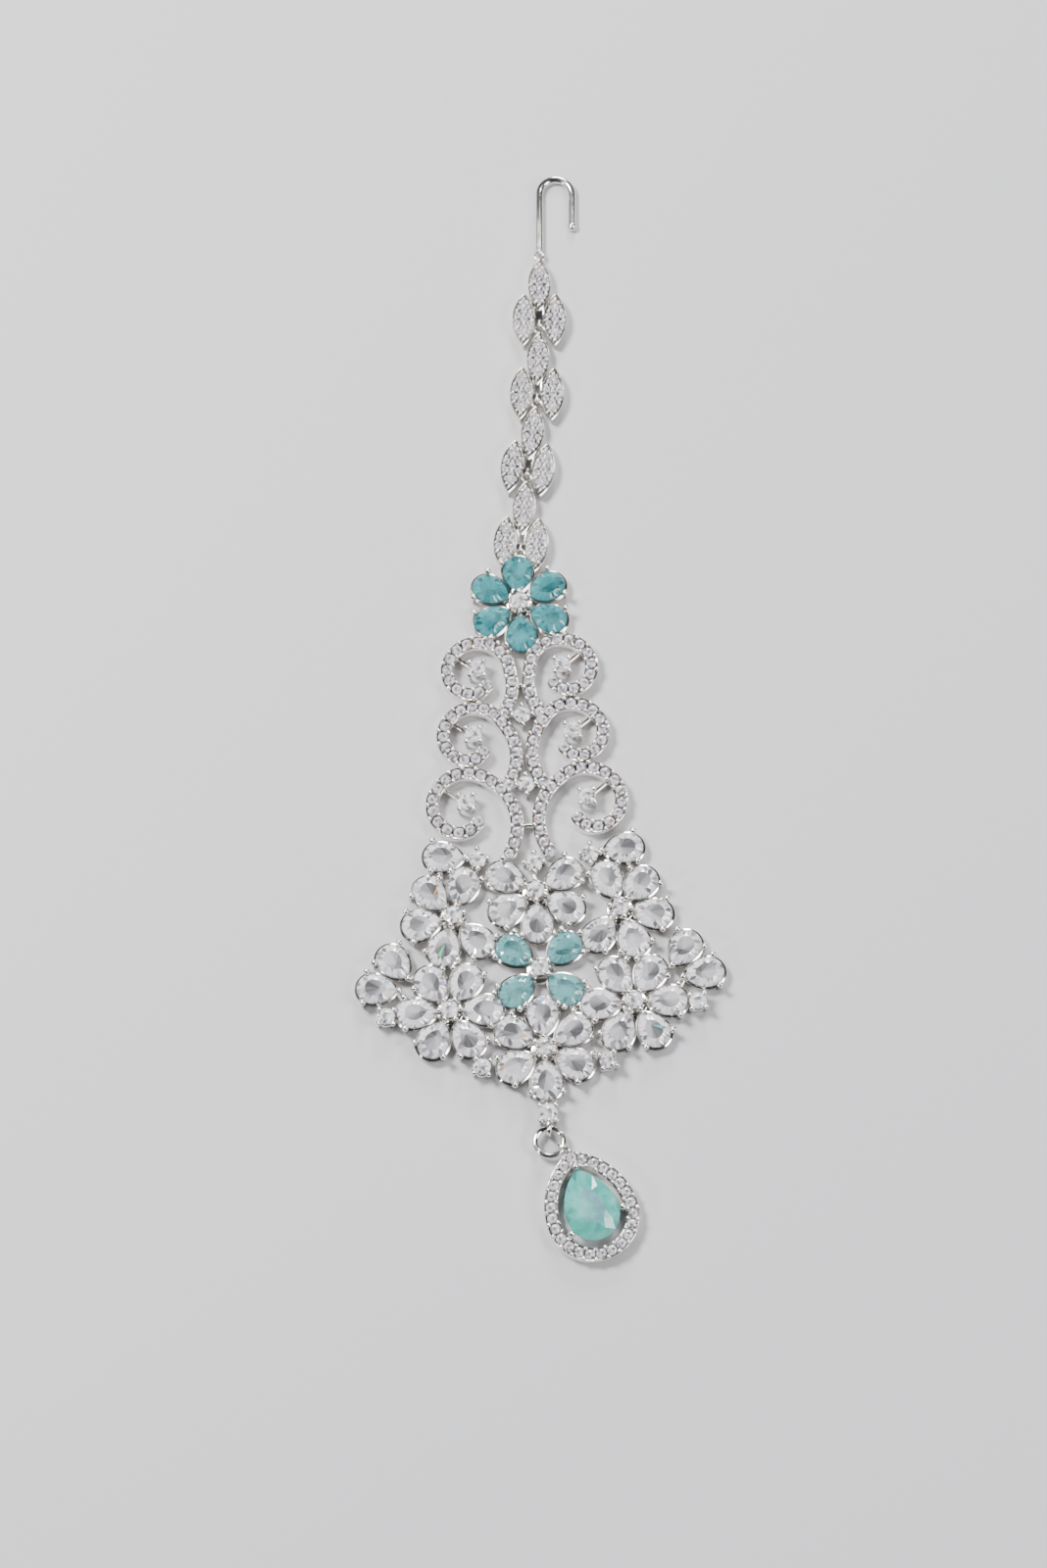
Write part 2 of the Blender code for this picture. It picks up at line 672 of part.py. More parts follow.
def flower_setting(finish):
    areas, openings, risers = flower_parts(TOP_FLOWER)
    eye, hole = eye_parts(*top_eye())
    add_object("flower_setting", relief(areas + [eye], openings + [hole], risers), finish)


def below_link(eye, lean):
    """A link's origin, the middle of its pair of leaves, from the eye that it hangs in."""
    return polar(loop_drop(), 90 - lean, *eye)


def loop_drop():
    """Distance from the eye that a loop passes through up to the link's origin."""
    return LOOP_RADIUS * 2 + LOOP_WIRE_RADIUS - LOOP_BITE


def link_eye(origin, lean):
    tip = LEAF_RISE + LEAF_LENGTH / 2
    return polar(tip + EYE_HOLE_RADIUS + EYE_WIRE / 2, 90 - lean, *origin)


def foot_loop(target, origin, lean, finish):
    """The upright loop under a link's bridge."""
    x, y = polar(LOOP_RADIUS - loop_drop(), 90 - lean, *origin)
    join(target, wire_loop("loop_" + target.name, (x, y, LINK_HEIGHT), LOOP_RADIUS, LOOP_RADIUS,
                           LOOP_WIRE_RADIUS, LOOP_SEGMENTS, LOOP_SIDES, 90 - lean, False, finish))


def leaf_outline(x, y):
    """A pointed leaf along Y from two equal arcs."""
    half, w = LEAF_LENGTH / 2, LEAF_WIDTH / 2
    radius = (half * half + w * w) / (2 * w)
    swing = math.degrees(math.asin(half / radius))
    right = [polar(radius, -swing + 2 * swing * i / LEAF_STEPS, w - radius, 0) for i in range(LEAF_STEPS)]
    return [(x + px, y + py) for px, py in right] + [(x - px, y - py) for px, py in right]


def leaf_link(number, eye_below, lean, finish):
    """One link: a leaf above a pair of leaves, with an eye at its top and a loop at its foot."""
    origin = below_link(eye_below, lean)
    leaves = [leaf_outline(0.0, LEAF_RISE)]
    leaves += [leaf_outline(side * LEAF_SPREAD / 2, 0.0) for side in (-1, 1)]
    bridge = bar((0.0, 0.0), (0.0, LEAF_RISE - LEAF_LENGTH / 2 + BRIDGE_WIDTH), 2 * BRIDGE_REACH)
    tip = LEAF_RISE + LEAF_LENGTH / 2 + EYE_HOLE_RADIUS + EYE_WIRE / 2
    eye, hole = eye_parts(0.0, tip)

    def place(outline):
        return turned(outline, -lean, *origin)
    areas = [Area(place(leaf), 0.0, LEAF_HEIGHT) for leaf in leaves]
    areas.append(Area(place(bridge), 0.0, BRIDGE_HEIGHT))
    areas.append(Area(place(eye.outline), eye.low, eye.high))
    reach = EYE_HOLE_RADIUS + EYE_WIRE + EYE_CLEARANCE
    pocket = Area(place(regular(ROUND_SIDES, reach, 0.0, -loop_drop())), eye.high + EYE_CLEARANCE, LEAF_HEIGHT)
    openings = [place(hole)]
    if number == 1:
        openings += clear_of(flower_pears(TOP_FLOWER), [], flower_parts(TOP_FLOWER)[2])
    link = add_object(f"leaf_link_{number}", relief(areas, openings, (), [pocket]), finish)
    foot_loop(link, origin, lean, finish)
    return link_eye(origin, lean)


def hook(eye_below, lean, finish):
    """A plain wire hook, lying flat, with a loop at its foot."""
    origin = below_link(eye_below, lean)
    line = [(0.0, 0.0), (0.0, HOOK_SHANK)]
    for i in range(1, HOOK_STEPS):
        line.append(polar(HOOK_BEND_RADIUS, 180 - 180 * i / HOOK_STEPS, HOOK_BEND_RADIUS, HOOK_SHANK))
    line += [(2 * HOOK_BEND_RADIUS, HOOK_SHANK), (2 * HOOK_BEND_RADIUS, HOOK_SHANK - HOOK_RETURN)]
    outline = turned(strip(line, HOOK_WIRE), -lean, *origin)
    made = add_object("hook", relief([Area(outline, 0.0, BRIDGE_HEIGHT)]), finish)
    foot_loop(made, origin, lean, finish)


def drop_ring_top():
    """Y of the wire's middle where the drop's ring hangs in the fan's loop."""
    return DROP_ROUND_Y - DROP_ROUND_DIAMETER / 2 - DROP_RING_GAP - DROP_RING_WIRE_RADIUS


def drop_loop_y():
    return drop_ring_top() + DROP_LOOP_LENGTH - DROP_LOOP_WIRE_RADIUS - DROP_RING_WIRE_RADIUS - DROP_RING_GAP


def drop_ring(finish):
    middle = (0.0, drop_ring_top() - DROP_RING_RADIUS, DROP_RING_HEIGHT)
    wire_loop("drop_ring", middle, DROP_RING_RADIUS, DROP_RING_RADIUS, DROP_RING_WIRE_RADIUS,
              DROP_RING_SEGMENTS, DROP_RING_SIDES, 0.0, True, finish)


def halo_outline(grow):
    points = pear_outline(HALO_TIP, HALO_RADIUS, grow, HALO_FLANK_STEPS, HALO_END_STEPS)
    return turned(points, DROP_TURN, DROP_X, DROP_Y)


def halo(finish):
    """The drop's frame, its three prongs and its bail."""
    half = SCROLL_BAR_WIDTH / 2
    ring = Area(halo_outline(half), 0.0, SCROLL_BAR_HEIGHT)
    ties, risers = [], []
    for turn in DROP_PRONG_TURNS:
        reach = DROP_WIDTH / 2 if turn != 180.0 else DROP_LENGTH - DROP_WIDTH / 2
        rim = HALO_RADIUS if turn != 180.0 else HALO_TIP
        x, y = polar(reach + DROP_PRONG_OFFSET, DROP_TURN + turn, DROP_X, DROP_Y)
        far = polar(rim, DROP_TURN + turn, DROP_X, DROP_Y)
        ties.append(Area(bar((x, y), far, STRUT_WIDTH), 0.0, COLLAR_HEIGHT))
        risers.append(prong(x, y, DROP_TURN + turn + 180, PRONG_RADIUS, PRONG_BALL_RADIUS,
                            SCROLL_BAR_HEIGHT, DROP_GIRDLE + PRONG_BALL_RADIUS))
    made = add_object("halo", relief([ring], [halo_outline(-half)], risers, (), ties), finish)
    ring_y = drop_ring_top() - DROP_RING_RADIUS
    tip = halo_outline(half)[0]
    toward = math.degrees(math.atan2(tip[1] - ring_y, tip[0]))
    shift = DROP_LOOP_LENGTH - DROP_LOOP_WIRE_RADIUS - DROP_RING_WIRE_RADIUS - DROP_RING_GAP
    x, y = polar(DROP_RING_RADIUS + shift, toward, 0.0, ring_y)
    join(made, wire_loop("bail", (x, y, DROP_RING_HEIGHT), DROP_LOOP_LENGTH, DROP_LOOP_RADIUS,
                         DROP_LOOP_WIRE_RADIUS, LOOP_SEGMENTS, LOOP_SIDES, toward, False, finish))


def drop_stone(finish):
    radius = DROP_WIDTH / 2
    points = pear_outline(DROP_LENGTH - radius, radius, 0.0, PEAR_FLANK_STEPS + 1, PEAR_END_STEPS + 2)
    outline = turned(points, DROP_TURN, DROP_X, DROP_Y)
    middle = polar(TABLE_SHIFT * (DROP_LENGTH - DROP_WIDTH), DROP_TURN + 180, DROP_X, DROP_Y)
    stone("drop_stone", outline, middle, DROP_GIRDLE, DROP_CROWN_HEIGHT, DROP_PAVILION_DEPTH, finish)


def remove_start_objects():
    for old in list(bpy.data.objects):
        bpy.data.objects.remove(old, do_unlink=True)


def main():
    remove_start_objects()
    fan_setting(SILVER)
    for flower in all_fan_flowers():
        for pear in flower_pears(flower):
            pear_stone(pear, AQUA if flower.name == "heart" else CLEAR)
    for pear in edge_stones()[0]:
        pear_stone(pear, CLEAR)
    scroll_panel(SILVER)
    flower_setting(SILVER)
    for pear in flower_pears(TOP_FLOWER):
        pear_stone(pear, AQUA)
    eye = top_eye()
    for i, lean in enumerate(LINK_LEANS):
        eye = leaf_link(i + 1, eye, lean, SILVER)
    hook(eye, HOOK_LEAN, SILVER)
    drop_ring(SILVER)
    halo(SILVER)
    drop_stone(AQUA)


if __name__ == "__main__":
    main()
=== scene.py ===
"""Looks of a maang tikka: cut stones, pave, grains, prongs, polished metal and a soft studio."""
import math

import bmesh
import bpy
import numpy as np
from mathutils import Matrix, Vector


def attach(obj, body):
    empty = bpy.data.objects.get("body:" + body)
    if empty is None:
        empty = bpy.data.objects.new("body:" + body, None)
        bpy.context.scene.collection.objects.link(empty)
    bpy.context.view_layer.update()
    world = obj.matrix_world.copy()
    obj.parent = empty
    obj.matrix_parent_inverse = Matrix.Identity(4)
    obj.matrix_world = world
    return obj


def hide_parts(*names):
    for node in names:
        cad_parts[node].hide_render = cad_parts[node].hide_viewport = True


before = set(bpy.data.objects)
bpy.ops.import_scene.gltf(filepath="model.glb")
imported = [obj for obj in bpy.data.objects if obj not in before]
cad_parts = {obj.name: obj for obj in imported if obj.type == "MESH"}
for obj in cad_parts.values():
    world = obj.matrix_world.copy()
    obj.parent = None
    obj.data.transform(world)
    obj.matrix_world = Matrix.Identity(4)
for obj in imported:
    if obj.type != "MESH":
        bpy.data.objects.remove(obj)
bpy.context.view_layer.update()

bl_info = {
    "name": "Maang Tikka Looks",
    "version": (1, 0, 0),
    "blender": (4, 5, 0),
    "location": "View3D > Sidebar > Tikka",
    "description": "Dresses the plain solids of a maang tikka as cut stones and polished metal",
    "category": "Object",
}

MM = 0.001
BODY = "root"

# Stones, in millimetres
PEAR_LENGTH, PEAR_WIDTH = 5.2, 4.0
PEAR_GIRDLE = 1.7
PEAR_TABLE = 0.56
PEAR_CROWN, PEAR_PAVILION = 0.65, 1.4
ROUND_RADIUS = 1.125
ROUND_TABLE = 0.46
ROUND_CROWN, ROUND_PAVILION = 0.4, 0.75
DROP_LENGTH, DROP_WIDTH = 9.7, 7.0
DROP_GIRDLE = 2.4
DROP_CROWN, DROP_PAVILION = 1.1, 2.0
DROP_TABLE = 0.5
GIRDLE_BAND = 0.06
# Points round the rims; middles of the cuts from the round end's centre; points of the table fans
PEAR_RIM, ROUND_RIM, PAVE_RIM, DROP_RIM = 36, 24, 12, 24
PEAR_MIDDLE, DROP_MIDDLE = -0.3, -0.68
PEAR_FAN, DROP_FAN = 0.45, 0.3
# Star points: further out by this share, at this share of the crown; lower ring likewise
STAR_OUT, STAR_HEIGHT = 0.1, 0.6
LOWER_RING, LOWER_DEPTH = 0.42, 0.62
PAVE_RADIUS = 0.68
PAVE_PITCH = 1.62
PAVE_TABLE, PAVE_CROWN, PAVE_PAVILION = 0.52, 0.36, 0.6
PAVE_SINK = 0.02
GRAIN_RADIUS = 0.34
GRAIN_ANGLES, GRAIN_FOOT, GRAIN_SIDES = (0, 28, 52, 74), 0.9, 8
GRAIN_INSET, GRAIN_RISE = 0.24, 0.1
LEAF_GRAIN = 0.23
# Painted light of the facets: tones of painted reflections and glints in place of sparkle, how common each
# is, and the rare spectral colours of painted fire
FACET_LEVELS = (1.0, 0.88, 0.62, 0.3, 0.1)
FACET_SHARES = (0.42, 0.2, 0.16, 0.13, 0.09)
FACET_TINT = (0.98, 0.97, 1.0)
SPECTRAL = ((1.0, 0.45, 0.1), (0.2, 0.75, 0.4), (0.25, 0.6, 0.9), (0.65, 0.4, 0.9))
# Painted reflection on the flat tables: how much its fan is shaken, its dark ends on clear pears and its span
# to the pale end; then the share of pear facets with painted fire
TABLE_SHAKE = 0.18
DEEP_TABLES, TABLE_SPAN = (0.0, 0.02, 0.12), 0.5
PEAR_FIRE = 0.012
# How far the painted facet light of aqua stones is lifted toward their body colour
AQUA_LIFT = 0.18
# Painted fire: a spectral flash painted on one slice of the table fan of three pears: the slice and its
# colour
PAINTED_FIRE_FLASHES = {"petal_left_2": (3, (1.0, 0.36, 0.05)), "petal_left_4": (8, (0.1, 0.8, 0.3)),
          "petal_lower_right_5": (12, (0.1, 0.62, 0.6))}

# Settings, in millimetres
COLLAR_HEIGHT = 1.3
BALL_RADIUS = 0.46
POST_RADIUS = 0.27
PRONG_ANGLE = 65.0
PRONG_OFFSET = 0.35
SMALL_BALL = 0.4
SMALL_POST = 0.24
POST_LOW, CENTRE_POST_LOW = 0.2, 1.2
# Balls: how far outside the stone, and how far above its girdle
CENTRE_BALL_OUT, SEAT_BALL_OUT = 0.3, 0.22
PEAR_BALL_RISE, CENTRE_BALL_RISE, SEAT_BALL_RISE = 0.42, 0.06, 0.12
BALL_SIDES, BALL_STEPS, BALL_CAP = 12, 7, (0.12, 0.99)
# Section of a collar: offset from the stone's outline and height
COLLAR_SECTION = ((0.25, 0.0), (0.25, 1.1), (0.33, 1.25), (0.34, 1.38), (0.27, 1.45), (0.16, 1.46),
                  (0.06, 1.56), (-0.1, 1.5), (-0.2, 1.3), (-0.2, 0.0))
COLLAR_STEPS = 48
# Profile of a cup: share of the radius and depth under the girdle; then the disc's edge: in and down
CUP_FOOT, CUP_SINK = 0.62, 0.1
CUP_PROFILE = ((0.66, 0.5), (0.92, 0.16), (1.02, 0.06), (0.9, 0.04), (0.5, 0.5))
DISC_EDGE = ((0.0, 0.2), (0.08, 0.05), (0.2, 0.0))
CUP_SIDES = 24
BASE_RADIUS = 1.85
STRUT_REACH, STRUT_WIDTH = 0.8, 0.6
CENTRE_LIFT, EDGE_LIFT, PANEL_LIFT = 2.7, 2.0, 2.2
CHANNEL_HEIGHT, CHANNEL_HALF = 1.7, 0.9
CHANNEL_DEPTH = 0.48
# Rim of a channel: in from the wall and down from the top; then where its floor starts
CHANNEL_RIM = ((0.0, 0.12), (0.04, 0.03), (0.1, 0.0), (0.17, 0.03), (0.21, 0.12))
CHANNEL_FLOOR_IN = 0.24
# Top of a rail: share of its half width and depth under the top
RAIL_TOP = ((1.0, 0.2), (0.75, 0.06), (0.3, 0.0))
NOSE_SHARES = (0.35, 0.6, 0.8, 0.93, 1.0)
TIE_OVERLAP = 0.1

# Steps of curves, and how near the vertical a wire may run before it needs another helper direction
FLANK_STEPS, END_STEPS = 40, 60
DENSE_STEPS, CURL_STEPS, CURL_SECTIONS, HALO_SECTIONS = 400, 160, 90, 120
WIRE_SIDES, RING_SEGMENTS, JUMP_RING_SEGMENTS = 10, 32, 48
STEEP = 0.9
WELD_DISTANCE = 1e-7
SHARP_ANGLE = 42.0

# Flowers: centre, distance to the petal tips, and the petals' directions in degrees
PETAL_TIP, HEART_TIP = 1.75, 1.55
FLOWERS = {
    "heart": (0.0, 0.0, HEART_TIP, (39, 141, 221, 319)),
    "upper": (0.0, 10.7, PETAL_TIP, (30, 150, 210, 270, 330)),
    "lower": (0.0, -10.8, PETAL_TIP, (30, 90, 150, 210, 270, 330)),
    "left": (-11.05, 7.8, PETAL_TIP, (71, 131, 191, 251, 311)),
    "lower_left": (-12.15, -5.15, PETAL_TIP, (0, 60, 120, 180, 240, 300)),
    "right": (11.05, 7.8, PETAL_TIP, (109, 49, -11, -71, -131)),
    "lower_right": (12.15, -5.15, PETAL_TIP, (180, 120, 60, 0, -60, -120)),
    "top": (0.0, 51.8, PETAL_TIP, (30, 90, 150, 210, 270, 330)),
}
# The sixth ball of a five-petalled flower stands where the petal is missing
SPARE_BALL = {"upper": 90, "left": 11, "right": 169}
# Petals whose prongs are moved aside by a close neighbour: upper and lower angle
PRONG_TURNS = {
    ("left", 2): (65, -85), ("left", 4): (74, -71), ("lower_left", 1): (65, -80),
    ("lower_left", 2): (78, -49), ("lower_left", 3): (85, -80),
    ("right", 2): (-65, 85), ("right", 4): (-74, 71), ("lower_right", 1): (-65, 80),
    ("lower_right", 2): (-78, 49), ("lower_right", 3): (-85, 80),
}
# Single pears of the left edge: middle and direction; they are mirrored to the right
EDGE_PEARS = {
    "shoulder": (-12.0, 16.2, 175.0),
    "side": (-19.15, 1.9, 127.0),
    "corner": (-21.6, -1.6, 171.0),
}
# Rounds of the edge: x, y and the direction of the first of four balls
EDGE_ROUNDS = [(-7.5, 15.65, 0.0), (-20.5, -5.5, 40.0), (-8.25, -12.95, 35.0)]
CROWN_ROUND = (0.0, 14.75, 0.0)
CROWN_TIE = 2.5
DROP_ROUND = (0.0, -19.6, 45.0)
DROP_ROUND_RADIUS = 1.25
EDGE_TIES = {"side": 3, "corner": 4}
TIP_ANGLE = 180.0
# Turns of the centre stones, of the whole fan and of the top flower
FAN_ROUND_TURN, TOP_ROUND_TURN = 10.0, 0.0

# Curls: x, y, radius, stem_from, foot_at, foot_stretch, tail_at, tail_shrink, stone_x, stone_y
CURLS = [
    (5.6, 42.3, 4.2, 5.0, -63.0, 0.66, 300.0, 0.46, 5.75, 42.5),
    (6.55, 32.9, 4.25, 30.0, -58.4, 0.91, 300.0, 0.46, 6.7, 33.1),
    (7.95, 23.15, 4.75, 50.0, -53.0, 0.84, 302.0, 0.46, 8.1, 23.6),
]
PANEL_X = -0.5
TAIL_FROM, STEM_POWER = 165.0, 1.6
PANEL_ROUNDS_Y = (35.6, 25.7)
CROSS_BARS_Y = (40.2, 20.2)
CROSS_BAR_HALF, CROSS_BAR_WIDTH = 1.5, 0.5
CURL_STRUT_ANGLE, CURL_STRUT_SHARE = 142.0, 0.8
CURL_NOSE = 0.6
CURL_ROUND_TURN = 45.0

# Chain
LEAF_LENGTH, LEAF_WIDTH, LEAF_HEIGHT = 8.1, 3.3, 1.6
LEAF_SPREAD, LEAF_RISE = 4.36, 5.35
LINK_LEANS = (7.5, 10.0, 5.0, 3.0)
HOOK_LEAN = 3.0
LINK_HEIGHT = 0.85
EYE_HOLE, EYE_WIRE = 0.42, 0.36
EYE_HALF = 0.2
LOOP_RADIUS, LOOP_WIRE, LOOP_BITE = 0.64, 0.19, 0.2
TOP_EYE = (0.5, 59.42)
BRIDGE_TOP, BRIDGE_WIDTH, BRIDGE_BITE = 1.2, 2.0, 0.8
HOOK_SHANK, HOOK_BEND, HOOK_RETURN, HOOK_WIRE = 8.5, 2.3, 5.0, 0.55
HOOK_START, HOOK_LIFT = 0.2, 0.03
SHANK_SHARES, RETURN_SHARES = (0.3, 0.6, 0.9), (0.3, 0.7, 1.0)
HOOK_BEND_STEPS, HOOK_SIDES, HOOK_END_SIDES = 24, 14, 16
# Rounded end of the hook: radius and height
HOOK_END = ((0.02, 0.0), (0.3, 0.04), (0.62, 0.36), (0.68, 0.6), (0.62, 0.84), (0.3, 1.16), (0.02, 1.2))
# Section of a leaf: share of its outline and height
LEAF_SECTION = ((0.0, 0.0), (1.0, 0.0), (1.0, 1.38), (0.985, 1.55), (0.955, LEAF_HEIGHT), (0.925, 1.55),
                (0.9, 1.42), (0.5, 1.5), (0.0, 1.52))
LEAF_STEPS = 24
LEAF_STONE_SINK = 0.06
# Stones of a leaf: x, y, radius, and its grains: x, y; both are mirrored in both axes
LEAF_STONES = [(0.0, 0.0, 0.53), (0.0, 1.28, 0.5), (0.0, 2.5, 0.43), (0.86, 0.64, 0.48), (0.56, 1.9, 0.36)]
LEAF_GRAINS = [(0.0, 0.64), (0.0, 1.92), (0.0, 3.1), (1.18, 0.0), (0.93, 1.33), (0.42, 2.6)]

# Drop
DROP_X, DROP_Y, DROP_TURN = 5.05, -33.4, 287.1
HALO_RADIUS, HALO_TIP = 5.2, 8.1
HALO_STONES = 25
DROP_PRONGS = (83.0, -65.0, 180.0)
DROP_PRONG_OFFSET = 0.42
DROP_BALL_MORE, DROP_POST_LOW, DROP_BALL_RISE = 0.04, 0.9, 0.44
DROP_STRUT_BACK = 0.1
# How far the drop's painted facet light is lifted toward its body colour
DROP_LIFT = 0.5
# Deep and pale ends of the painted reflection across the table fans of coloured stones
DROP_TABLE_TONES, AQUA_TABLE_TONES = (0.5, 1.0), (0.0, 0.8)
DROP_WIRE_GAP = 0.22
# The grey-lavender sheen of the drop's table, as a factor on its body colour
DROP_SHEEN = (2.3, 0.88, 1.12)
RING_RADIUS, RING_WIRE, RING_HEIGHT = 1.87, 0.41, 1.35
BAIL_LENGTH, BAIL_RADIUS, BAIL_WIRE = 1.15, 0.95, 0.27

# Stones: material, transmission, index of refraction, roughness and share of the cloudy veil
STONE_FINISHES = {
    "clear": ("clear_cut", 0.3, 2.0, 0.02, 0.0),
    "pave": ("pave_clear", 0.3, 2.0, 0.03, 0.0),
    "aqua": ("aqua_cut", 0.2, 1.6, 0.06, 0.35),
    "teal": ("teal_cut", 0.2, 1.6, 0.06, 0.35),
    "drop": ("milky_aqua", 0.12, 1.55, 0.1, 0.6),
}
CLOUD_SCALE, CLOUD_DETAIL = 420.0, 4.0
CLOUD_RANGE = {"From Min": 0.4, "From Max": 0.75}
VEIL_GAIN, VEIL_LIFT = 1.5, 0.12
RUB_SCALE, FINE_FACTOR = 260.0, 7.0
RUB_RANGE = {"From Min": 0.3, "From Max": 0.7, "To Min": 0.08, "To Max": 0.24}
BUMP_STRENGTH, BUMP_DISTANCE = 0.12, 0.00006

# Stage, in metres and watts; a lamp's power is a share of the key's, or its own where it is a spark
FLOOR_HALF, FLOOR_ROUGHNESS = 4.0, 0.6
LAMP_TARGET = (0.0, 0.01, 0.0)
SOFT_LAMPS = {"key": ((-0.35, 0.25, 0.6), 0.22, 1.0), "fill": ((0.5, -0.2, 0.45), 0.3, 0.4),
              "back": ((0.1, 0.7, 0.35), 0.2, 0.45)}
SPARKS = {"spark_left": ((-0.5, -0.3, 0.35), 0.04, 1.5), "spark_right": ((0.3, 0.4, 0.7), 0.03, 1.5)}
SKY_COLOUR = (0.82, 0.86, 0.95, 1)
CAMERA_AT = (-0.01034, -0.15559, 0.52949)
CAMERA_BACK, CAMERA_RIGHT = (-0.01704, -0.32512, 0.94552), (0.99863, -0.05234, 0.0)
LENS, SENSOR, CLIP_START = 95.76, 36.0, 0.01

SEED = 17
# What each group of stones adds to the seed; the pears add their number
SEED_STEPS = {"fan_rounds": 0, "top_flower_round": 1, "scroll_pave": 2, "scroll_rounds": 3,
              "leaf_link_1_pave": 11, "leaf_link_2_pave": 12, "leaf_link_3_pave": 13, "leaf_link_4_pave": 14,
              "halo_pave": 20, "drop_stone_cut": 21}


def colour(name, description, default):
    """A colour property."""
    return bpy.props.FloatVectorProperty(name=name, description=description, default=default,
                                         subtype="COLOR", size=3, min=0, max=1)


class StoneLooks(bpy.types.PropertyGroup):
    """Colours and sparkle of the stones."""
    clear: colour("Clear", "Body colour of the clear stones", (0.96, 0.96, 0.98))
    aqua: colour("Aqua", "Body colour of the aqua petals", (0.13, 0.35, 0.36))
    teal: colour("Teal", "Body colour of the top flower's petals", (0.05, 0.26, 0.28))
    pave: colour("Pave", "Body colour of the pave stones", (0.74, 0.72, 0.75))
    drop: colour("Drop", "Body colour of the milky drop stone", (0.06, 0.34, 0.29))
    # Facet contrast scales the painted reflections and glints of the facets
    contrast: bpy.props.FloatProperty(name="Facet contrast", description="How much facets differ in tone",
                                      default=0.9, min=0, max=1, subtype="FACTOR")


class MetalLooks(bpy.types.PropertyGroup):
    """Colour of the metal."""
    silver: colour("Silver", "Colour of the plated metal", (0.86, 0.83, 0.79))


class StageLooks(bpy.types.PropertyGroup):
    """Floor and lights."""
    floor: colour("Floor", "Colour of the floor", (0.46, 0.46, 0.48))
    key_power: bpy.props.FloatProperty(name="Key power", description="Power of the main soft light",
                                       default=11.0, min=0, unit="POWER")
    sky: bpy.props.FloatProperty(name="Sky", description="Strength of the even light from all round",
                                 default=0.05, min=0, max=3)


def aim(degrees):
    """Unit vectors of directions in degrees. Forms below are points in mm and arrays of faces."""
    a = np.radians(np.asarray(degrees, float))
    return np.stack([np.cos(a), np.sin(a)], -1)


def turned(points, degrees, centre=(0.0, 0.0)):
    """Points turned about the origin, then moved to the centre: p' = R p + c."""
    c, s = aim(degrees)
    flat = np.asarray(points, float)
    spun = np.stack([c * flat[..., 0] - s * flat[..., 1], s * flat[..., 0] + c * flat[..., 1]], -1)
    return spun + np.asarray(centre, float)


def evenly(line, count, closed):
    """Points at equal steps of arc length along a line, with the unit normals to its left."""
    line = np.asarray(line, float)
    if closed:
        line = np.vstack([line, line[:1]])
    steps = np.r_[0.0, np.cumsum(np.linalg.norm(np.diff(line, axis=0), axis=1))]
    at = np.linspace(0.0, steps[-1], count, endpoint=not closed)
    points = np.stack([np.interp(at, steps, line[:, k]) for k in (0, 1)], -1)
    if closed:
        along = np.roll(points, -1, 0) - np.roll(points, 1, 0)
    else:
        along = np.gradient(points, axis=0)
    along /= np.linalg.norm(along, axis=1)[:, None]
    return points, np.stack([-along[:, 1], along[:, 0]], -1)


def pear_line(tip, radius, grow, count):
    """A pear from its tip on -X: two flank arcs that run tangent into a half circle about (0, 0)."""
    flank = (tip * tip + radius * radius) / (2 * radius)
    rise = flank - radius
    swing = math.atan2(math.sqrt((flank + grow) ** 2 - rise ** 2), rise)
    a = swing * (1 - np.linspace(0, 1, FLANK_STEPS, endpoint=False))
    lower = np.stack([-(flank + grow) * np.sin(a), rise - (flank + grow) * np.cos(a)], -1)
    end = (radius + grow) * aim(np.linspace(-90, 90, END_STEPS))
    upper = lower[:0:-1] * (1, -1)
    return evenly(np.vstack([lower, end, upper]), count, True)[0]


def grid(points, across):
    """A surface over rows of points, closed round each row and, if across, from last row to first."""
    rows, cols = points.shape[:2]
    i = np.arange(rows if across else rows - 1)[:, None]
    j = np.arange(cols)[None, :]
    i2, j2 = (i + 1) % rows, (j + 1) % cols
    faces = np.stack(np.broadcast_arrays(i * cols + j, i * cols + j2, i2 * cols + j2, i2 * cols + j), -1)
    return points.reshape(-1, 3), [faces.reshape(-1, 4)]


def lathe(profile, sides):
    """A round form: each (radius, height) of the profile goes round the Z axis. Both ends close."""
    r, z = np.asarray(profile, float).T
    ring = aim(np.arange(sides) * 360 / sides)
    heights = np.broadcast_to(z[:, None, None], (len(r), sides, 1))
    verts, faces = grid(np.concatenate([r[:, None, None] * ring[None], heights], -1), False)
    last = len(verts) - sides
    faces += [np.arange(sides)[None, ::-1], last + np.arange(sides)[None]]
    return verts, faces


def joined(forms):
    """Several forms as one: points stacked, face indices moved on."""
    verts, faces, start = [], [], 0
    for v, f in forms:
        verts.append(v)
        faces += [g + start for g in f]
        start += len(v)
    return np.vstack(verts), faces


def spread(form, places, turns=None, sizes=None):
    """Copies of a form: p' = size * Rz(turn) p + place, for all places at once."""
    verts, faces = form
    places = np.asarray(places, float).reshape(-1, 3)
    count = len(places)
    c, s = (aim(np.zeros(count) if turns is None else turns)).T[:, :, None]
    scale = np.ones(count) if sizes is None else np.asarray(sizes, float)
    flat = np.stack([c * verts[:, 0] - s * verts[:, 1], s * verts[:, 0] + c * verts[:, 1],
                     np.broadcast_to(verts[:, 2], (count, len(verts)))], -1)
    moved = flat * scale[:, None, None] + places[:, None]
    start = (np.arange(count) * len(verts))[:, None, None]
    return moved.reshape(-1, 3), [(g[None] + start).reshape(-1, g.shape[1]) for g in faces]


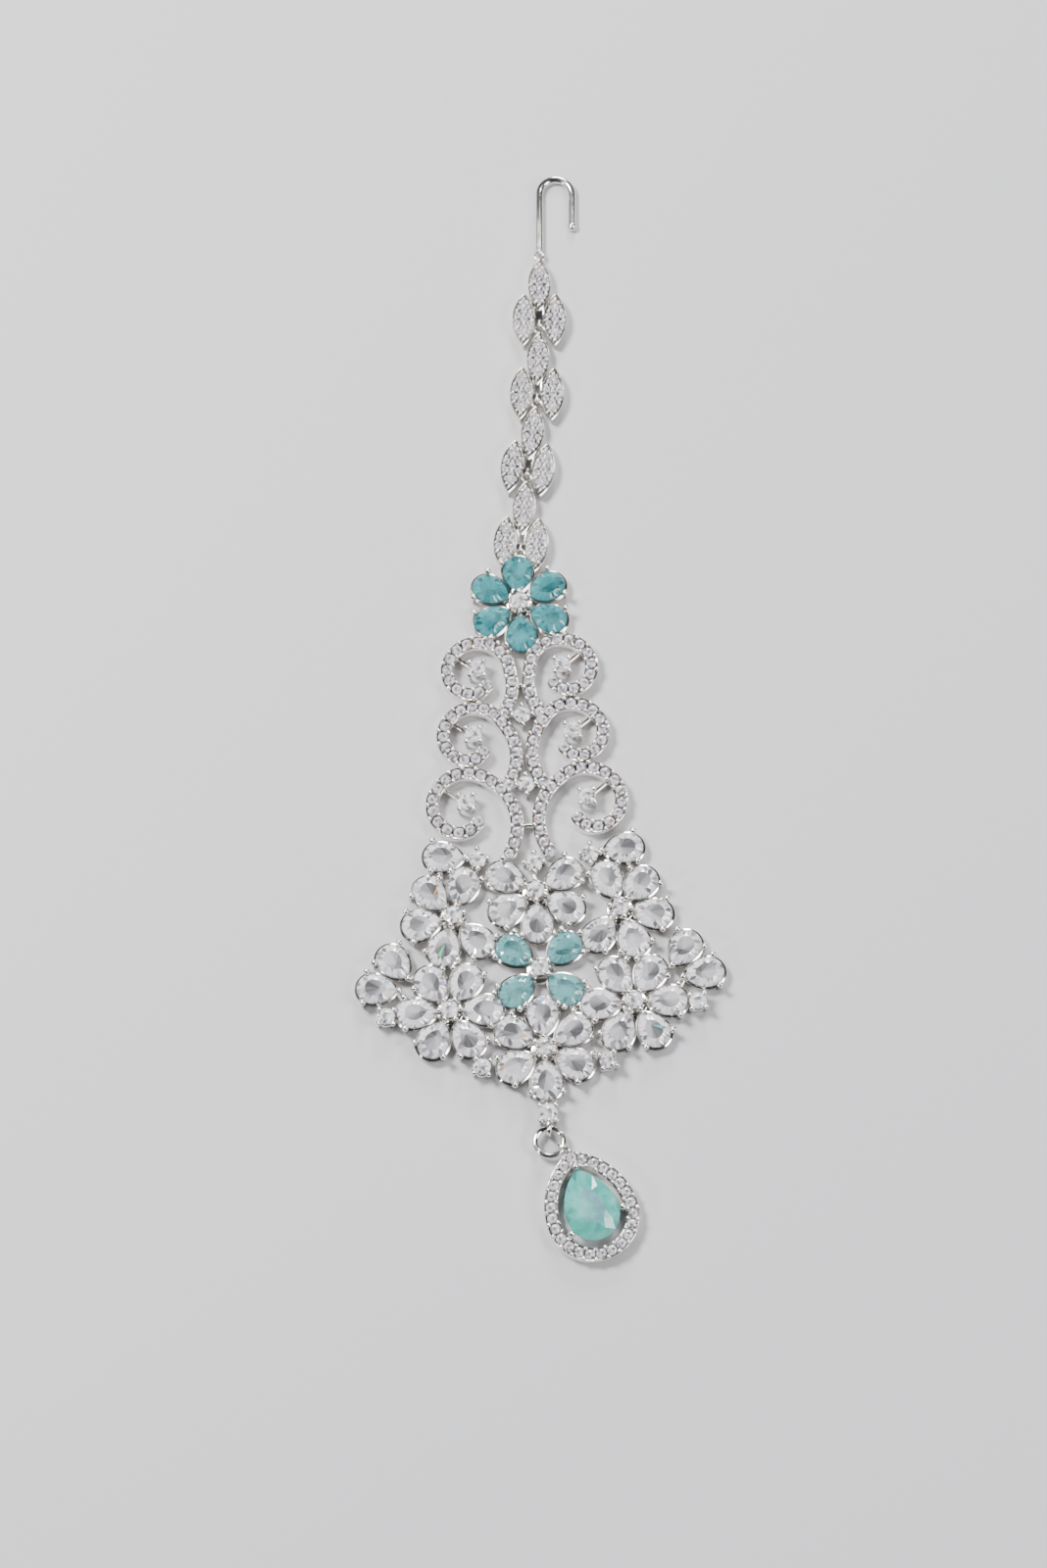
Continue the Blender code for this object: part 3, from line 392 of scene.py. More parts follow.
def channel(half, height, depth):
    """Section of a pave bed: walls, two rounded rims and a sunk floor, as (offset, height)."""
    left = [(-half, 0)] + [(-half + x, height - z) for x, z in CHANNEL_RIM]
    left.append((-half + CHANNEL_FLOOR_IN, height - depth))
    return np.array(left + [(-x, z) for x, z in left[::-1]])


def rail_section(half, height):
    """Section of a plain rail with a rounded top, as (offset, height)."""
    left = [(-half, 0)] + [(-half * share, height - z) for share, z in RAIL_TOP]
    return np.array(left + [(-x, z) for x, z in left[::-1]])


def sweep(line, section, count, closed=False, nose=0.0):
    """A section carried along a line: point = line + offset * normal, height from the section.

    An open line is carried on by the nose length, over which the offsets shrink as a half circle.
    """
    points, normals = evenly(line, count, closed)
    widths = np.ones(count)
    if not closed and nose > 0:
        t = np.array(NOSE_SHARES)
        ahead = np.stack([normals[-1, 1], -normals[-1, 0]])
        behind = -np.stack([normals[0, 1], -normals[0, 0]])
        points = np.vstack([points[0] + behind * nose * t[::-1, None], points,
                            points[-1] + ahead * nose * t[:, None]])
        normals = np.vstack([np.repeat(normals[:1], len(t), 0), normals, np.repeat(normals[-1:], len(t), 0)])
        taper = np.sqrt(1 - t ** 2)
        widths = np.r_[taper[::-1], widths, taper]
    flat = points[:, None] + section[None, :, :1] * widths[:, None, None] * normals[:, None]
    z = np.broadcast_to(section[None, :, 1:], (*flat.shape[:2], 1))
    verts, faces = grid(np.concatenate([flat, z], -1), closed)
    if not closed:
        m = len(section)
        faces += [np.arange(m)[None], (len(verts) - m + np.arange(m))[None, ::-1]]
    return verts, faces


def tube(path, radius, sides, closed=False):
    """A round wire: circles in the plane across the path, which may rise and fall."""
    path = np.asarray(path, float)
    along = (np.roll(path, -1, 0) - np.roll(path, 1, 0)) if closed else np.gradient(path, axis=0)
    along /= np.linalg.norm(along, axis=1)[:, None]
    helper = np.array([0.0, 0.0, 1.0])
    if np.abs(along[:, 2]).max() >= STEEP:
        helper = np.cross(along[0], along[len(path) // 4])
    side = np.cross(along, helper)
    side /= np.linalg.norm(side, axis=1)[:, None]
    up = np.cross(side, along)
    ring = aim(np.arange(sides) * 360 / sides)
    points = path[:, None] + radius * (ring[None, :, :1] * side[:, None] + ring[None, :, 1:] * up[:, None])
    verts, faces = grid(points, closed)
    if not closed:
        faces += [np.arange(sides)[None], (len(verts) - sides + np.arange(sides))[None, ::-1]]
    return verts, faces


def wire_ring(middle, long, tall, wire, turn, flat, segments=RING_SEGMENTS):
    """An oval wire ring: long along its turn angle, tall in height, or lying flat."""
    a = np.radians(np.arange(segments) * 360 / segments)
    across = np.stack([long * np.cos(a), tall * np.sin(a)], -1)
    if flat:
        path = np.c_[turned(across, turn, middle[:2]), np.full(segments, middle[2])]
    else:
        level = turned(np.c_[across[:, 0], np.zeros(segments)], turn, middle[:2])
        path = np.c_[level, middle[2] + across[:, 1]]
    return tube(path, wire, WIRE_SIDES, True)


def brilliant(rim, middle, table, crown, pavilion, fan=0.0):
    """A brilliant cut on a closed rim of 2n points, with its girdle at height 0.

    Table corners lie over the even rim points and star points over the odd ones. Stars, kites and
    upper girdle facets make the crown; lower girdle facets and mains run to the culet. The flat table
    is split in a fan of slices in one plane, which carry a painted reflection; the fan's point lies the fan
    share of the way to its first corner.
    """
    n = len(rim) // 2
    k = np.arange(n)
    before, after = (k - 1) % n, (k + 1) % n

    def ring(share, points, z):
        flat = middle + (points - middle) * share
        return np.c_[flat, np.full(len(points), z)]

    star = (1 + 2 * table) / 3 + STAR_OUT
    parts = [ring(table, rim[0::2], crown), ring(star, rim[1::2], crown * STAR_HEIGHT),
             ring(1, rim, GIRDLE_BAND / 2), ring(1, rim, -GIRDLE_BAND / 2),
             ring(LOWER_RING, rim[1::2], -pavilion * LOWER_DEPTH), np.array([[*middle, -pavilion]]),
             ring(table * fan, rim[:1], crown)]
    t, m, g, h, p, c = 0, n, 2 * n, 4 * n, 6 * n, 7 * n
    even, odd, nxt = 2 * k, 2 * k + 1, (2 * k + 2) % (2 * n)
    j = np.arange(2 * n)
    j2 = (j + 1) % (2 * n)
    faces = [
        np.stack([t + k, t + after, np.full(n, c + 1)], -1),
        np.stack([t + k, m + k, t + after], -1),
        np.stack([t + k, m + before, g + even, m + k], -1),
        np.stack([m + k, g + even, g + odd], -1), np.stack([m + k, g + odd, g + nxt], -1),
        np.stack([g + j, h + j, h + j2, g + j2], -1),
        np.stack([p + k, h + odd, h + even], -1), np.stack([p + k, h + nxt, h + odd], -1),
        np.stack([np.full(n, c), p + k, h + even, p + before], -1),
    ]
    return np.vstack(parts), faces


def ball_on_post(ball, post, low, middle):
    """A prong: a post from its low end that runs into a ball about its middle height."""
    join = middle - math.sqrt(ball * ball - post * post)
    a = np.radians(np.linspace(math.degrees(math.asin((join - middle) / ball)), 90, BALL_STEPS))
    profile = [(post, low)] + [(ball * math.cos(t), middle + ball * math.sin(t)) for t in a[:-1]]
    return lathe(profile + [(ball * BALL_CAP[0], middle + ball * BALL_CAP[1])], BALL_SIDES)


def grain():
    """A bead of metal raised between stones: a dome on a short foot, of radius 1."""
    a = np.radians(GRAIN_ANGLES)
    return lathe([(1.0, -GRAIN_FOOT)] + [(math.cos(t), math.sin(t)) for t in a], GRAIN_SIDES)


def add_piece(name, form, finish, nodes=(), tones=None, flat=False):
    """A piece from a form in millimetres: welded, facing outwards, with a tone for each face, which on stones
    carries painted facet light.
    """
    verts, faces = form
    mesh = bpy.data.meshes.new(name)
    mesh.from_pydata((verts * MM).tolist(), [], [row for g in faces for row in g.tolist()])
    if tones is not None:
        layer = mesh.attributes.new("tone", "FLOAT_COLOR", "CORNER")
        lengths = np.concatenate([np.full(len(g), g.shape[1]) for g in faces])
        layer.data.foreach_set("color", np.repeat(tones, lengths, axis=0).astype(np.float32).ravel())
    bm = bmesh.new()
    bm.from_mesh(mesh)
    bmesh.ops.remove_doubles(bm, verts=bm.verts[:], dist=WELD_DISTANCE)
    bmesh.ops.recalc_face_normals(bm, faces=bm.faces[:])
    bm.to_mesh(mesh)
    bm.free()
    if flat:
        mesh.shade_flat()
    else:
        mesh.shade_smooth()
        mesh.set_sharp_from_angle(angle=math.radians(SHARP_ANGLE))
    mesh.materials.append(finish)
    piece = bpy.data.objects.new(name, mesh)
    bpy.context.scene.collection.objects.link(piece)
    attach(piece, BODY)
    if nodes:
        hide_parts(*nodes)


def painted_facet_light(form, seed, copies=1, deep=0.12, pale=0.8, fire=0.02):
    """Painted light for each facet: pale, mid or deep greys by chance as painted reflections and glints, with
    rare spectral ones as painted fire.

    Round each table the fan swings from deep to pale as a painted reflection: tone = deep + (pale - deep) *
    s, where s is a squared cosine of the slice's turn from a chance direction, shaken a little.
    """
    rng = np.random.default_rng(seed)
    count = sum(len(g) for g in form[1])
    contrast = bpy.context.scene.tikka_stones.contrast
    grey = rng.choice(FACET_LEVELS, count, p=FACET_SHARES)
    slices = len(form[1][0]) // copies
    turn = np.arange(slices) / slices * math.pi
    swing = np.cos(turn[None] - rng.uniform(0, math.pi, (copies, 1))) ** 2
    swing = np.clip(swing + rng.uniform(-TABLE_SHAKE, TABLE_SHAKE, swing.shape), 0, 1)
    grey[:swing.size] = (deep + (pale - deep) * swing).ravel()
    tones = (1 - contrast * (1 - grey))[:, None] * FACET_TINT
    spectral = np.array(SPECTRAL)
    lit = rng.random(count) < fire
    lit[:swing.size] = False
    tones[lit] = spectral[rng.integers(0, len(spectral), lit.sum())]
    return np.c_[tones, np.ones(count)]


def pear_place(name, index):
    """Middle of a petal's round end, and its direction."""
    x, y, tip, petals = FLOWERS[name]
    angle = petals[index]
    return np.array((x, y)) + (tip + PEAR_LENGTH - PEAR_WIDTH / 2) * aim(angle), angle


def edge_place(name, side):
    """Middle of an edge pear's round end and its direction, mirrored for the right side."""
    x, y, turn = EDGE_PEARS[name]
    centre = np.array((x, y)) + (PEAR_LENGTH - PEAR_WIDTH) / 2 * aim(turn)
    if side > 0:
        return centre * (-1, 1), 180 - turn
    return centre, turn


def fan_pears():
    """Every pear of the fan: node name, middle of its round end, direction and prong angles."""
    rows = []
    for name, (_, _, _, petals) in FLOWERS.items():
        if name == "top":
            continue
        for i in range(len(petals)):
            turns = PRONG_TURNS.get((name, i + 1), (PRONG_ANGLE, -PRONG_ANGLE))
            rows.append((f"petal_{name}_{i + 1}", *pear_place(name, i), turns))
    for side, word in ((-1, "left"), (1, "right")):
        for name in EDGE_PEARS:
            centre, turn = edge_place(name, side)
            rows.append((f"pear_{word}_{name}", centre, turn, (PRONG_ANGLE, -PRONG_ANGLE, TIP_ANGLE)))
    return rows


def top_pears():
    """The top flower's petals, as in fan_pears."""
    turns = (PRONG_ANGLE, -PRONG_ANGLE)
    return [(f"petal_top_{i + 1}", *pear_place("top", i), turns) for i in range(len(FLOWERS["top"][3]))]


def pear_prongs(rows):
    """Places of the prongs about pears: on the round end's circle, or past the tip."""
    places = []
    for _, centre, turn, angles in rows:
        for angle in angles:
            reach = PEAR_WIDTH / 2 if angle != TIP_ANGLE else PEAR_LENGTH - PEAR_WIDTH / 2
            flat = centre + (reach + PRONG_OFFSET) * aim(turn + angle)
            places.append((*flat, 0.0))
    return places


def collar():
    """The cup under a pear: a wall with a rolled lip, closed round its section."""
    tip, radius, steps = PEAR_LENGTH - PEAR_WIDTH / 2, PEAR_WIDTH / 2, COLLAR_STEPS
    rings = [np.c_[pear_line(tip, radius, off, steps), np.full(steps, z)] for off, z in COLLAR_SECTION]
    return grid(np.stack(rings), True)


def round_stones(rows):
    """Round brilliants at (x, y, girdle height, radius, turn)."""
    rim = aim(np.arange(ROUND_RIM) * 360 / ROUND_RIM)
    crown, pavilion = ROUND_CROWN / ROUND_RADIUS, ROUND_PAVILION / ROUND_RADIUS
    cut = brilliant(rim, np.zeros(2), ROUND_TABLE, crown, pavilion)
    rows = np.asarray(rows, float)
    return spread(cut, rows[:, :3], rows[:, 4], rows[:, 3])


def cup(radius, base, lift):
    """The collet under a round stone: it flares to a lip just under the girdle."""
    flare = [(radius * share, lift - down) for share, down in CUP_PROFILE]
    return lathe([(radius * CUP_FOOT, base)] + flare, CUP_SIDES)


def base_disc(radius):
    """The low base of a round stone, with a softened edge."""
    edge = [(radius - inward, COLLAR_HEIGHT - down) for inward, down in DISC_EDGE]
    return lathe([(radius, 0)] + edge, CUP_SIDES)


def seat(x, y, turn, radius, base, lift):
    """The cup of a round stone and its four prongs."""
    spots = [(*((x, y) + (radius + SEAT_BALL_OUT) * d), 0.0) for d in aim(turn + np.arange(4) * 90.0)]
    balls = ball_on_post(SMALL_BALL, SMALL_POST, POST_LOW, lift + SEAT_BALL_RISE)
    return [spread(cup(radius, base, lift), [(x, y, 0.0)]), spread(balls, spots)]


def strut(a, b, width=STRUT_WIDTH, height=COLLAR_HEIGHT):
    """A straight rail from a to b."""
    return sweep(np.array((a, b)), rail_section(width / 2, height), 2)


def flower_rounds(name):
    """Balls about a flower's centre stone, toward its petals and the spare place."""
    x, y, _, petals = FLOWERS[name]
    angles = list(petals) + ([SPARE_BALL[name]] if name in SPARE_BALL else [])
    reach = ROUND_RADIUS + CENTRE_BALL_OUT
    return [(x + reach * d[0], y + reach * d[1], 0.0) for d in aim(angles)]


def setting_metal(rows, flowers, loose, ties):
    """Collars, prongs, bases, cups, balls and ties of a set of stones, as one form."""
    forms = [spread(collar(), [(*centre, 0.0) for _, centre, _, _ in rows], [turn for _, _, turn, _ in rows])]
    prong = ball_on_post(BALL_RADIUS, POST_RADIUS, POST_LOW, PEAR_GIRDLE + PEAR_BALL_RISE)
    forms.append(spread(prong, pear_prongs(rows)))
    centres = [(*FLOWERS[name][:2], 0.0) for name in flowers]
    forms.append(spread(base_disc(BASE_RADIUS), centres))
    forms.append(spread(cup(ROUND_RADIUS, COLLAR_HEIGHT - CUP_SINK, CENTRE_LIFT), centres))
    balls = [place for name in flowers for place in flower_rounds(name)]
    prong = ball_on_post(SMALL_BALL, SMALL_POST, CENTRE_POST_LOW, CENTRE_LIFT + CENTRE_BALL_RISE)
    forms.append(spread(prong, balls))
    for x, y, turn, radius in loose:
        forms.append(spread(base_disc(radius), [(x, y, 0.0)]))
        forms += seat(x, y, turn, radius, COLLAR_HEIGHT - CUP_SINK, EDGE_LIFT)
    forms += [strut(a, b) for a, b in ties]
    return joined(forms)


def loose_rounds():
    """Edge rounds on both sides, the crown round and the drop's round: x, y, turn, radius."""
    rows = [(x * side, y, turn if side > 0 else 180 - turn, ROUND_RADIUS)
            for side in (1, -1) for x, y, turn in EDGE_ROUNDS]
    return rows + [(*CROWN_ROUND, ROUND_RADIUS), (*DROP_ROUND, DROP_ROUND_RADIUS)]


def fan_ties(rows, loose):
    """Ties between settings whose rims are near each other, each from rim to rim."""
    spots = [(centre, PEAR_WIDTH / 2) for _, centre, _, _ in rows]
    spots += [(np.array((x, y)), radius) for x, y, _, radius in loose]
    ties = []
    for i, (a, ra) in enumerate(spots):
        for b, rb in spots[i + 1:]:
            apart = np.linalg.norm(b - a)
            if 0 < apart - ra - rb < STRUT_REACH:
                along = (b - a) / apart
                ties.append((a + along * (ra + TIE_OVERLAP), b - along * (rb + TIE_OVERLAP)))
    named = {name: (centre, turn) for name, centre, turn, _ in rows}
    for word in ("left", "right"):
        for edge, petal in EDGE_TIES.items():
            centre, turn = named[f"pear_{word}_{edge}"]
            tip = centre - (PEAR_LENGTH - PEAR_WIDTH / 2) * aim(turn)
            far = named[f"petal_lower_{word}_{petal}"][0]
            along = (far - tip) / np.linalg.norm(far - tip)
            ties.append((tip, far - along * (PEAR_WIDTH / 2 + TIE_OVERLAP)))
    crown = np.array(CROWN_ROUND[:2])
    ties.append((crown - (0, CROWN_TIE), crown))
    return ties


def curl_path(row, side):
    """A curl's centre line: polar about its middle, stretched at the foot and shrunk at the tail."""
    x, y, radius, stem_from, foot, stretch, tail_at, shrink, _, _ = row
    a = np.linspace(foot, tail_at, CURL_STEPS)
    stem = np.clip((stem_from - a) / (stem_from - foot), 0, None)
    tail = np.clip((a - TAIL_FROM) / (tail_at - TAIL_FROM), 0, None)
    r = radius * (1 + stretch * stem ** STEM_POWER - shrink * tail ** 2)
    flat = np.array((x, y)) + r[:, None] * aim(180 - a)
    return np.array((PANEL_X, 0)) + flat * (side, 1)


def pave_cut():
    """A small brilliant with six mains, of radius 1."""
    rim = aim(np.arange(PAVE_RIM) * 360 / PAVE_RIM)
    return brilliant(rim, np.zeros(2), PAVE_TABLE, PAVE_CROWN, PAVE_PAVILION)


def pave_row(line, count, closed):
    """Stones and pairs of grains at equal steps along the middle of a channel."""
    dense, _ = evenly(line, DENSE_STEPS, closed)
    points, _ = evenly(dense, count, closed)
    stones = [(*p, CHANNEL_HEIGHT - PAVE_SINK) for p in points]
    both, sides = evenly(dense, 2 * count if closed else 2 * count - 1, closed)
    offset = CHANNEL_HALF - GRAIN_INSET
    grains = [(*(p + s * offset * n), CHANNEL_HEIGHT - PAVE_SINK + GRAIN_RISE)
              for p, n in zip(both[1::2], sides[1::2]) for s in (-1, 1)]
    return stones, grains


def grains_at(places, size):
    """Beads of one size at all places."""
    return spread(grain(), places, sizes=np.full(len(places), size))


def link_places():
    """Origin and lean of each link and of the hook, each from the eye that it hangs in."""
    rows, eye = [], np.array(TOP_EYE)
    drop = 2 * LOOP_RADIUS + LOOP_WIRE - LOOP_BITE
    for lean in (*LINK_LEANS, HOOK_LEAN):
        up = aim(90 - lean)
        origin = eye + drop * up
        rows.append((origin, lean))
        eye = origin + (LEAF_RISE + LEAF_LENGTH / 2 + EYE_HOLE + EYE_WIRE / 2) * up
    return rows


def foot_loop(origin, lean):
    """The upright loop at the foot of a link or of the hook."""
    at = origin - aim(90 - lean) * (LOOP_RADIUS + LOOP_WIRE - LOOP_BITE)
    return wire_ring((*at, LINK_HEIGHT), LOOP_RADIUS, LOOP_RADIUS, LOOP_WIRE, 90 - lean, False)


def flat_eye(at):
    """A lying eye about a place."""
    radius = EYE_HOLE + EYE_WIRE / 2
    return wire_ring((*at, LINK_HEIGHT), radius, radius, EYE_HALF, 0.0, True)


def leaf_bed():
    """A pointed leaf: outer wall, rounded rim, sunk floor that rises a little to the middle."""
    half, w = LEAF_LENGTH / 2, LEAF_WIDTH / 2
    radius = (half * half + w * w) / (2 * w)
    swing = math.degrees(math.asin(half / radius))
    right = np.array((w - radius, 0)) + radius * aim(np.linspace(-swing, swing, LEAF_STEPS + 1)[:-1])
    outline = np.vstack([right, -right])
    rows = [np.c_[outline * share, np.full(len(outline), z)] for share, z in LEAF_SECTION]
    return grid(np.stack(rows), False)


def mirrored_rows(rows):
    """Rows of x, y, ... with their mirror images in both axes, each place once."""
    seen = {}
    for x, y, *rest in rows:
        for sx in (1, -1):
            for sy in (1, -1):
                seen[(round(x * sx, 4) + 0.0, round(y * sy, 4) + 0.0)] = rest
    return [(x, y, *rest) for (x, y), rest in seen.items()]


def halo_line(grow, count):
    """The drop's frame line, grown outwards; its first point is the tip."""
    return turned(pear_line(HALO_TIP, HALO_RADIUS, grow, count), DROP_TURN, (DROP_X, DROP_Y))


def ring_top():
    """Y of the jump ring's uppermost centre line."""
    return DROP_ROUND[1] - DROP_ROUND_RADIUS - DROP_WIRE_GAP - RING_WIRE


def effect_group(name, outputs, build):
    """A shader node group with a scale input, built once."""
    if name in bpy.data.node_groups:
        return bpy.data.node_groups[name]
    group = bpy.data.node_groups.new(name, "ShaderNodeTree")
    group.interface.new_socket("Scale", in_out="INPUT", socket_type="NodeSocketFloat")
    for label in outputs:
        group.interface.new_socket(label, in_out="OUTPUT", socket_type="NodeSocketFloat")
    build(group, group.nodes.new("NodeGroupInput"), group.nodes.new("NodeGroupOutput"))
    return group


def handling(group, start, end):
    """Fine rubbing and low ripples: a roughness that wanders and a height for bump."""
    place = group.nodes.new("ShaderNodeTexCoord")
    broad = group.nodes.new("ShaderNodeTexNoise")
    fine = group.nodes.new("ShaderNodeTexNoise")
    fine_scale = group.nodes.new("ShaderNodeMath")
    fine_scale.operation = "MULTIPLY"
    fine_scale.inputs[1].default_value = FINE_FACTOR
    rough = group.nodes.new("ShaderNodeMapRange")
    for label, value in RUB_RANGE.items():
        rough.inputs[label].default_value = value
    link = group.links.new
    link(start.outputs["Scale"], broad.inputs["Scale"])
    link(start.outputs["Scale"], fine_scale.inputs[0])
    link(fine_scale.outputs[0], fine.inputs["Scale"])
    for noise in (broad, fine):
        link(place.outputs["Object"], noise.inputs["Vector"])
    link(broad.outputs["Fac"], rough.inputs["Value"])
    link(rough.outputs["Result"], end.inputs["Roughness"])
    link(fine.outputs["Fac"], end.inputs["Height"])


def new_finish(name):
    """A material with a Principled shader: (material, node tree, shader)."""
    made = bpy.data.materials.new(name)
    made.use_nodes = True
    return made, made.node_tree, made.node_tree.nodes["Principled BSDF"]


def polished_silver():
    """Plated metal: bright, with faint rubbing."""
    name = "polished_silver"
    if name in bpy.data.materials:
        return bpy.data.materials[name]
    looks = bpy.context.scene.tikka_metal
    made, tree, shader = new_finish(name)
    shader.inputs["Base Color"].default_value = (*looks.silver, 1)
    shader.inputs["Metallic"].default_value = 1.0
    rub = tree.nodes.new("ShaderNodeGroup")
    rub.node_tree = effect_group("handling", ("Roughness", "Height"), handling)
    rub.inputs["Scale"].default_value = RUB_SCALE
    bump = tree.nodes.new("ShaderNodeBump")
    bump.inputs["Strength"].default_value = BUMP_STRENGTH
    bump.inputs["Distance"].default_value = BUMP_DISTANCE
    tree.links.new(rub.outputs["Roughness"], shader.inputs["Roughness"])
    tree.links.new(rub.outputs["Height"], bump.inputs["Height"])
    tree.links.new(bump.outputs["Normal"], shader.inputs["Normal"])
    return made


def stone_finish(kind):
    """A cut stone: its body colour times the tone of each facet, which carries painted reflections, glints
    and fire, and a faint cloud inside.
    """
    name, transmission, ior, roughness, mottle = STONE_FINISHES[kind]
    if name in bpy.data.materials:
        return bpy.data.materials[name]
    colour = getattr(bpy.context.scene.tikka_stones, kind)
    made, tree, shader = new_finish(name)
    tone = tree.nodes.new("ShaderNodeAttribute")
    tone.attribute_name = "tone"
    mix = tree.nodes.new("ShaderNodeMix")
    mix.data_type = "RGBA"
    mix.blend_type = "MULTIPLY"
    mix.inputs["Factor"].default_value = 1.0
    mix.inputs["A"].default_value = (*colour, 1)
    tree.links.new(tone.outputs["Color"], mix.inputs["B"])
    result = mix.outputs["Result"]
    if mottle:
        place = tree.nodes.new("ShaderNodeTexCoord")
        cloud = tree.nodes.new("ShaderNodeTexNoise")
        cloud.inputs["Scale"].default_value = CLOUD_SCALE
        cloud.inputs["Detail"].default_value = CLOUD_DETAIL
        veil = tree.nodes.new("ShaderNodeMix")
        veil.data_type = "RGBA"
        veil.inputs["B"].default_value = (*[min(1, c * VEIL_GAIN + VEIL_LIFT) for c in colour], 1)
        share = tree.nodes.new("ShaderNodeMapRange")
        for label, value in CLOUD_RANGE.items():
            share.inputs[label].default_value = value
        share.inputs["To Max"].default_value = mottle
        tree.links.new(place.outputs["Object"], cloud.inputs["Vector"])
        tree.links.new(cloud.outputs["Fac"], share.inputs["Value"])
        tree.links.new(share.outputs["Result"], veil.inputs["Factor"])
        tree.links.new(result, veil.inputs["A"])
        result = veil.outputs["Result"]
    tree.links.new(result, shader.inputs["Base Color"])
    shader.inputs["Roughness"].default_value = roughness
    shader.inputs["IOR"].default_value = ior
    shader.inputs["Transmission Weight"].default_value = transmission
    return made


def add_metal(name, forms, node):
    """A metal piece of several forms that stands for a node."""
    add_piece(name, joined(forms), polished_silver(), [node])


def add_stones(name, form, kind, node, copies):
    """A piece of many clear stones with painted facet light, with its own seed."""
    tones = painted_facet_light(form, SEED + SEED_STEPS[name], copies)
    add_piece(name, form, stone_finish(kind), [node], tones, True)


class TIKKA_OT_pears(bpy.types.Operator):
    """Cut the pear stones: clear petals and edge pears, aqua petals of two flowers."""
    bl_idname = "tikka.pears"
    bl_label = "Pear Stones"

    def execute(self, context):
        rim = pear_line(PEAR_LENGTH - PEAR_WIDTH / 2, PEAR_WIDTH / 2, 0.0, PEAR_RIM)
        middle = np.array((PEAR_MIDDLE, 0.0))
        cut = brilliant(rim, middle, PEAR_TABLE, PEAR_CROWN, PEAR_PAVILION, PEAR_FAN)
        rng = np.random.default_rng(SEED)
        for k, (node, centre, turn, _) in enumerate(fan_pears() + top_pears()):
            stone = spread(cut, [(*centre, PEAR_GIRDLE)], [turn])
            # Painted reflection on this table, from a dark end chosen by chance
            deep = rng.choice(DEEP_TABLES)
            kind = "aqua" if "heart" in node else "teal" if "top" in node else "clear"
            if kind == "clear":
                tones = painted_facet_light(stone, SEED + k, deep=deep, pale=deep + TABLE_SPAN, fire=PEAR_FIRE)
                # Painted fire: a spectral flash on one slice of this table
                if node in PAINTED_FIRE_FLASHES:
                    facet, colour = PAINTED_FIRE_FLASHES[node]
                    tones[facet, :3] = colour
            else:
                # Painted reflection and facet light on coloured stones, lifted toward their body colour
                tones = painted_facet_light(stone, SEED + k, 1, *AQUA_TABLE_TONES, fire=0.0)
                tones[:, :3] = AQUA_LIFT + (1 - AQUA_LIFT) * tones[:, :3]
            add_piece(f"{node}_cut", stone, stone_finish(kind), [node], tones, True)
        return {"FINISHED"}


class TIKKA_OT_fan(bpy.types.Operator):
    """Make the fan's collars, prongs, balls and ties, its loop and its round stones."""
    bl_idname = "tikka.fan"
    bl_label = "Fan Setting"

    def execute(self, context):
        rows, loose = fan_pears(), loose_rounds()
        flowers = [name for name in FLOWERS if name != "top"]
        metal = setting_metal(rows, flowers, loose, fan_ties(rows, loose))
        loop_y = ring_top() + BAIL_LENGTH - BAIL_WIRE - RING_WIRE - DROP_WIRE_GAP
        loop = wire_ring((0.0, loop_y, RING_HEIGHT), BAIL_LENGTH, BAIL_RADIUS, BAIL_WIRE, 90.0, False)
        add_metal("fan_metal", [metal, loop], "fan_setting")
        stones = [(*FLOWERS[name][:2], CENTRE_LIFT, ROUND_RADIUS, FAN_ROUND_TURN) for name in flowers]
        stones += [(x, y, EDGE_LIFT, radius, turn) for x, y, turn, radius in loose]
        add_stones("fan_rounds", round_stones(stones), "clear", "fan_setting", len(stones))
        return {"FINISHED"}


class TIKKA_OT_top_flower(bpy.types.Operator):
    """Make the top flower's metal, with the eye that the chain hangs in, and its centre stone."""
    bl_idname = "tikka.top_flower"
    bl_label = "Top Flower"

    def execute(self, context):
        metal = setting_metal(top_pears(), ["top"], [], [])
        add_metal("top_flower_metal", [metal, flat_eye(TOP_EYE)], "flower_setting")
        stone = round_stones([(*FLOWERS["top"][:2], CENTRE_LIFT, ROUND_RADIUS, TOP_ROUND_TURN)])
        add_stones("top_flower_round", stone, "clear", "flower_setting", 1)
        return {"FINISHED"}


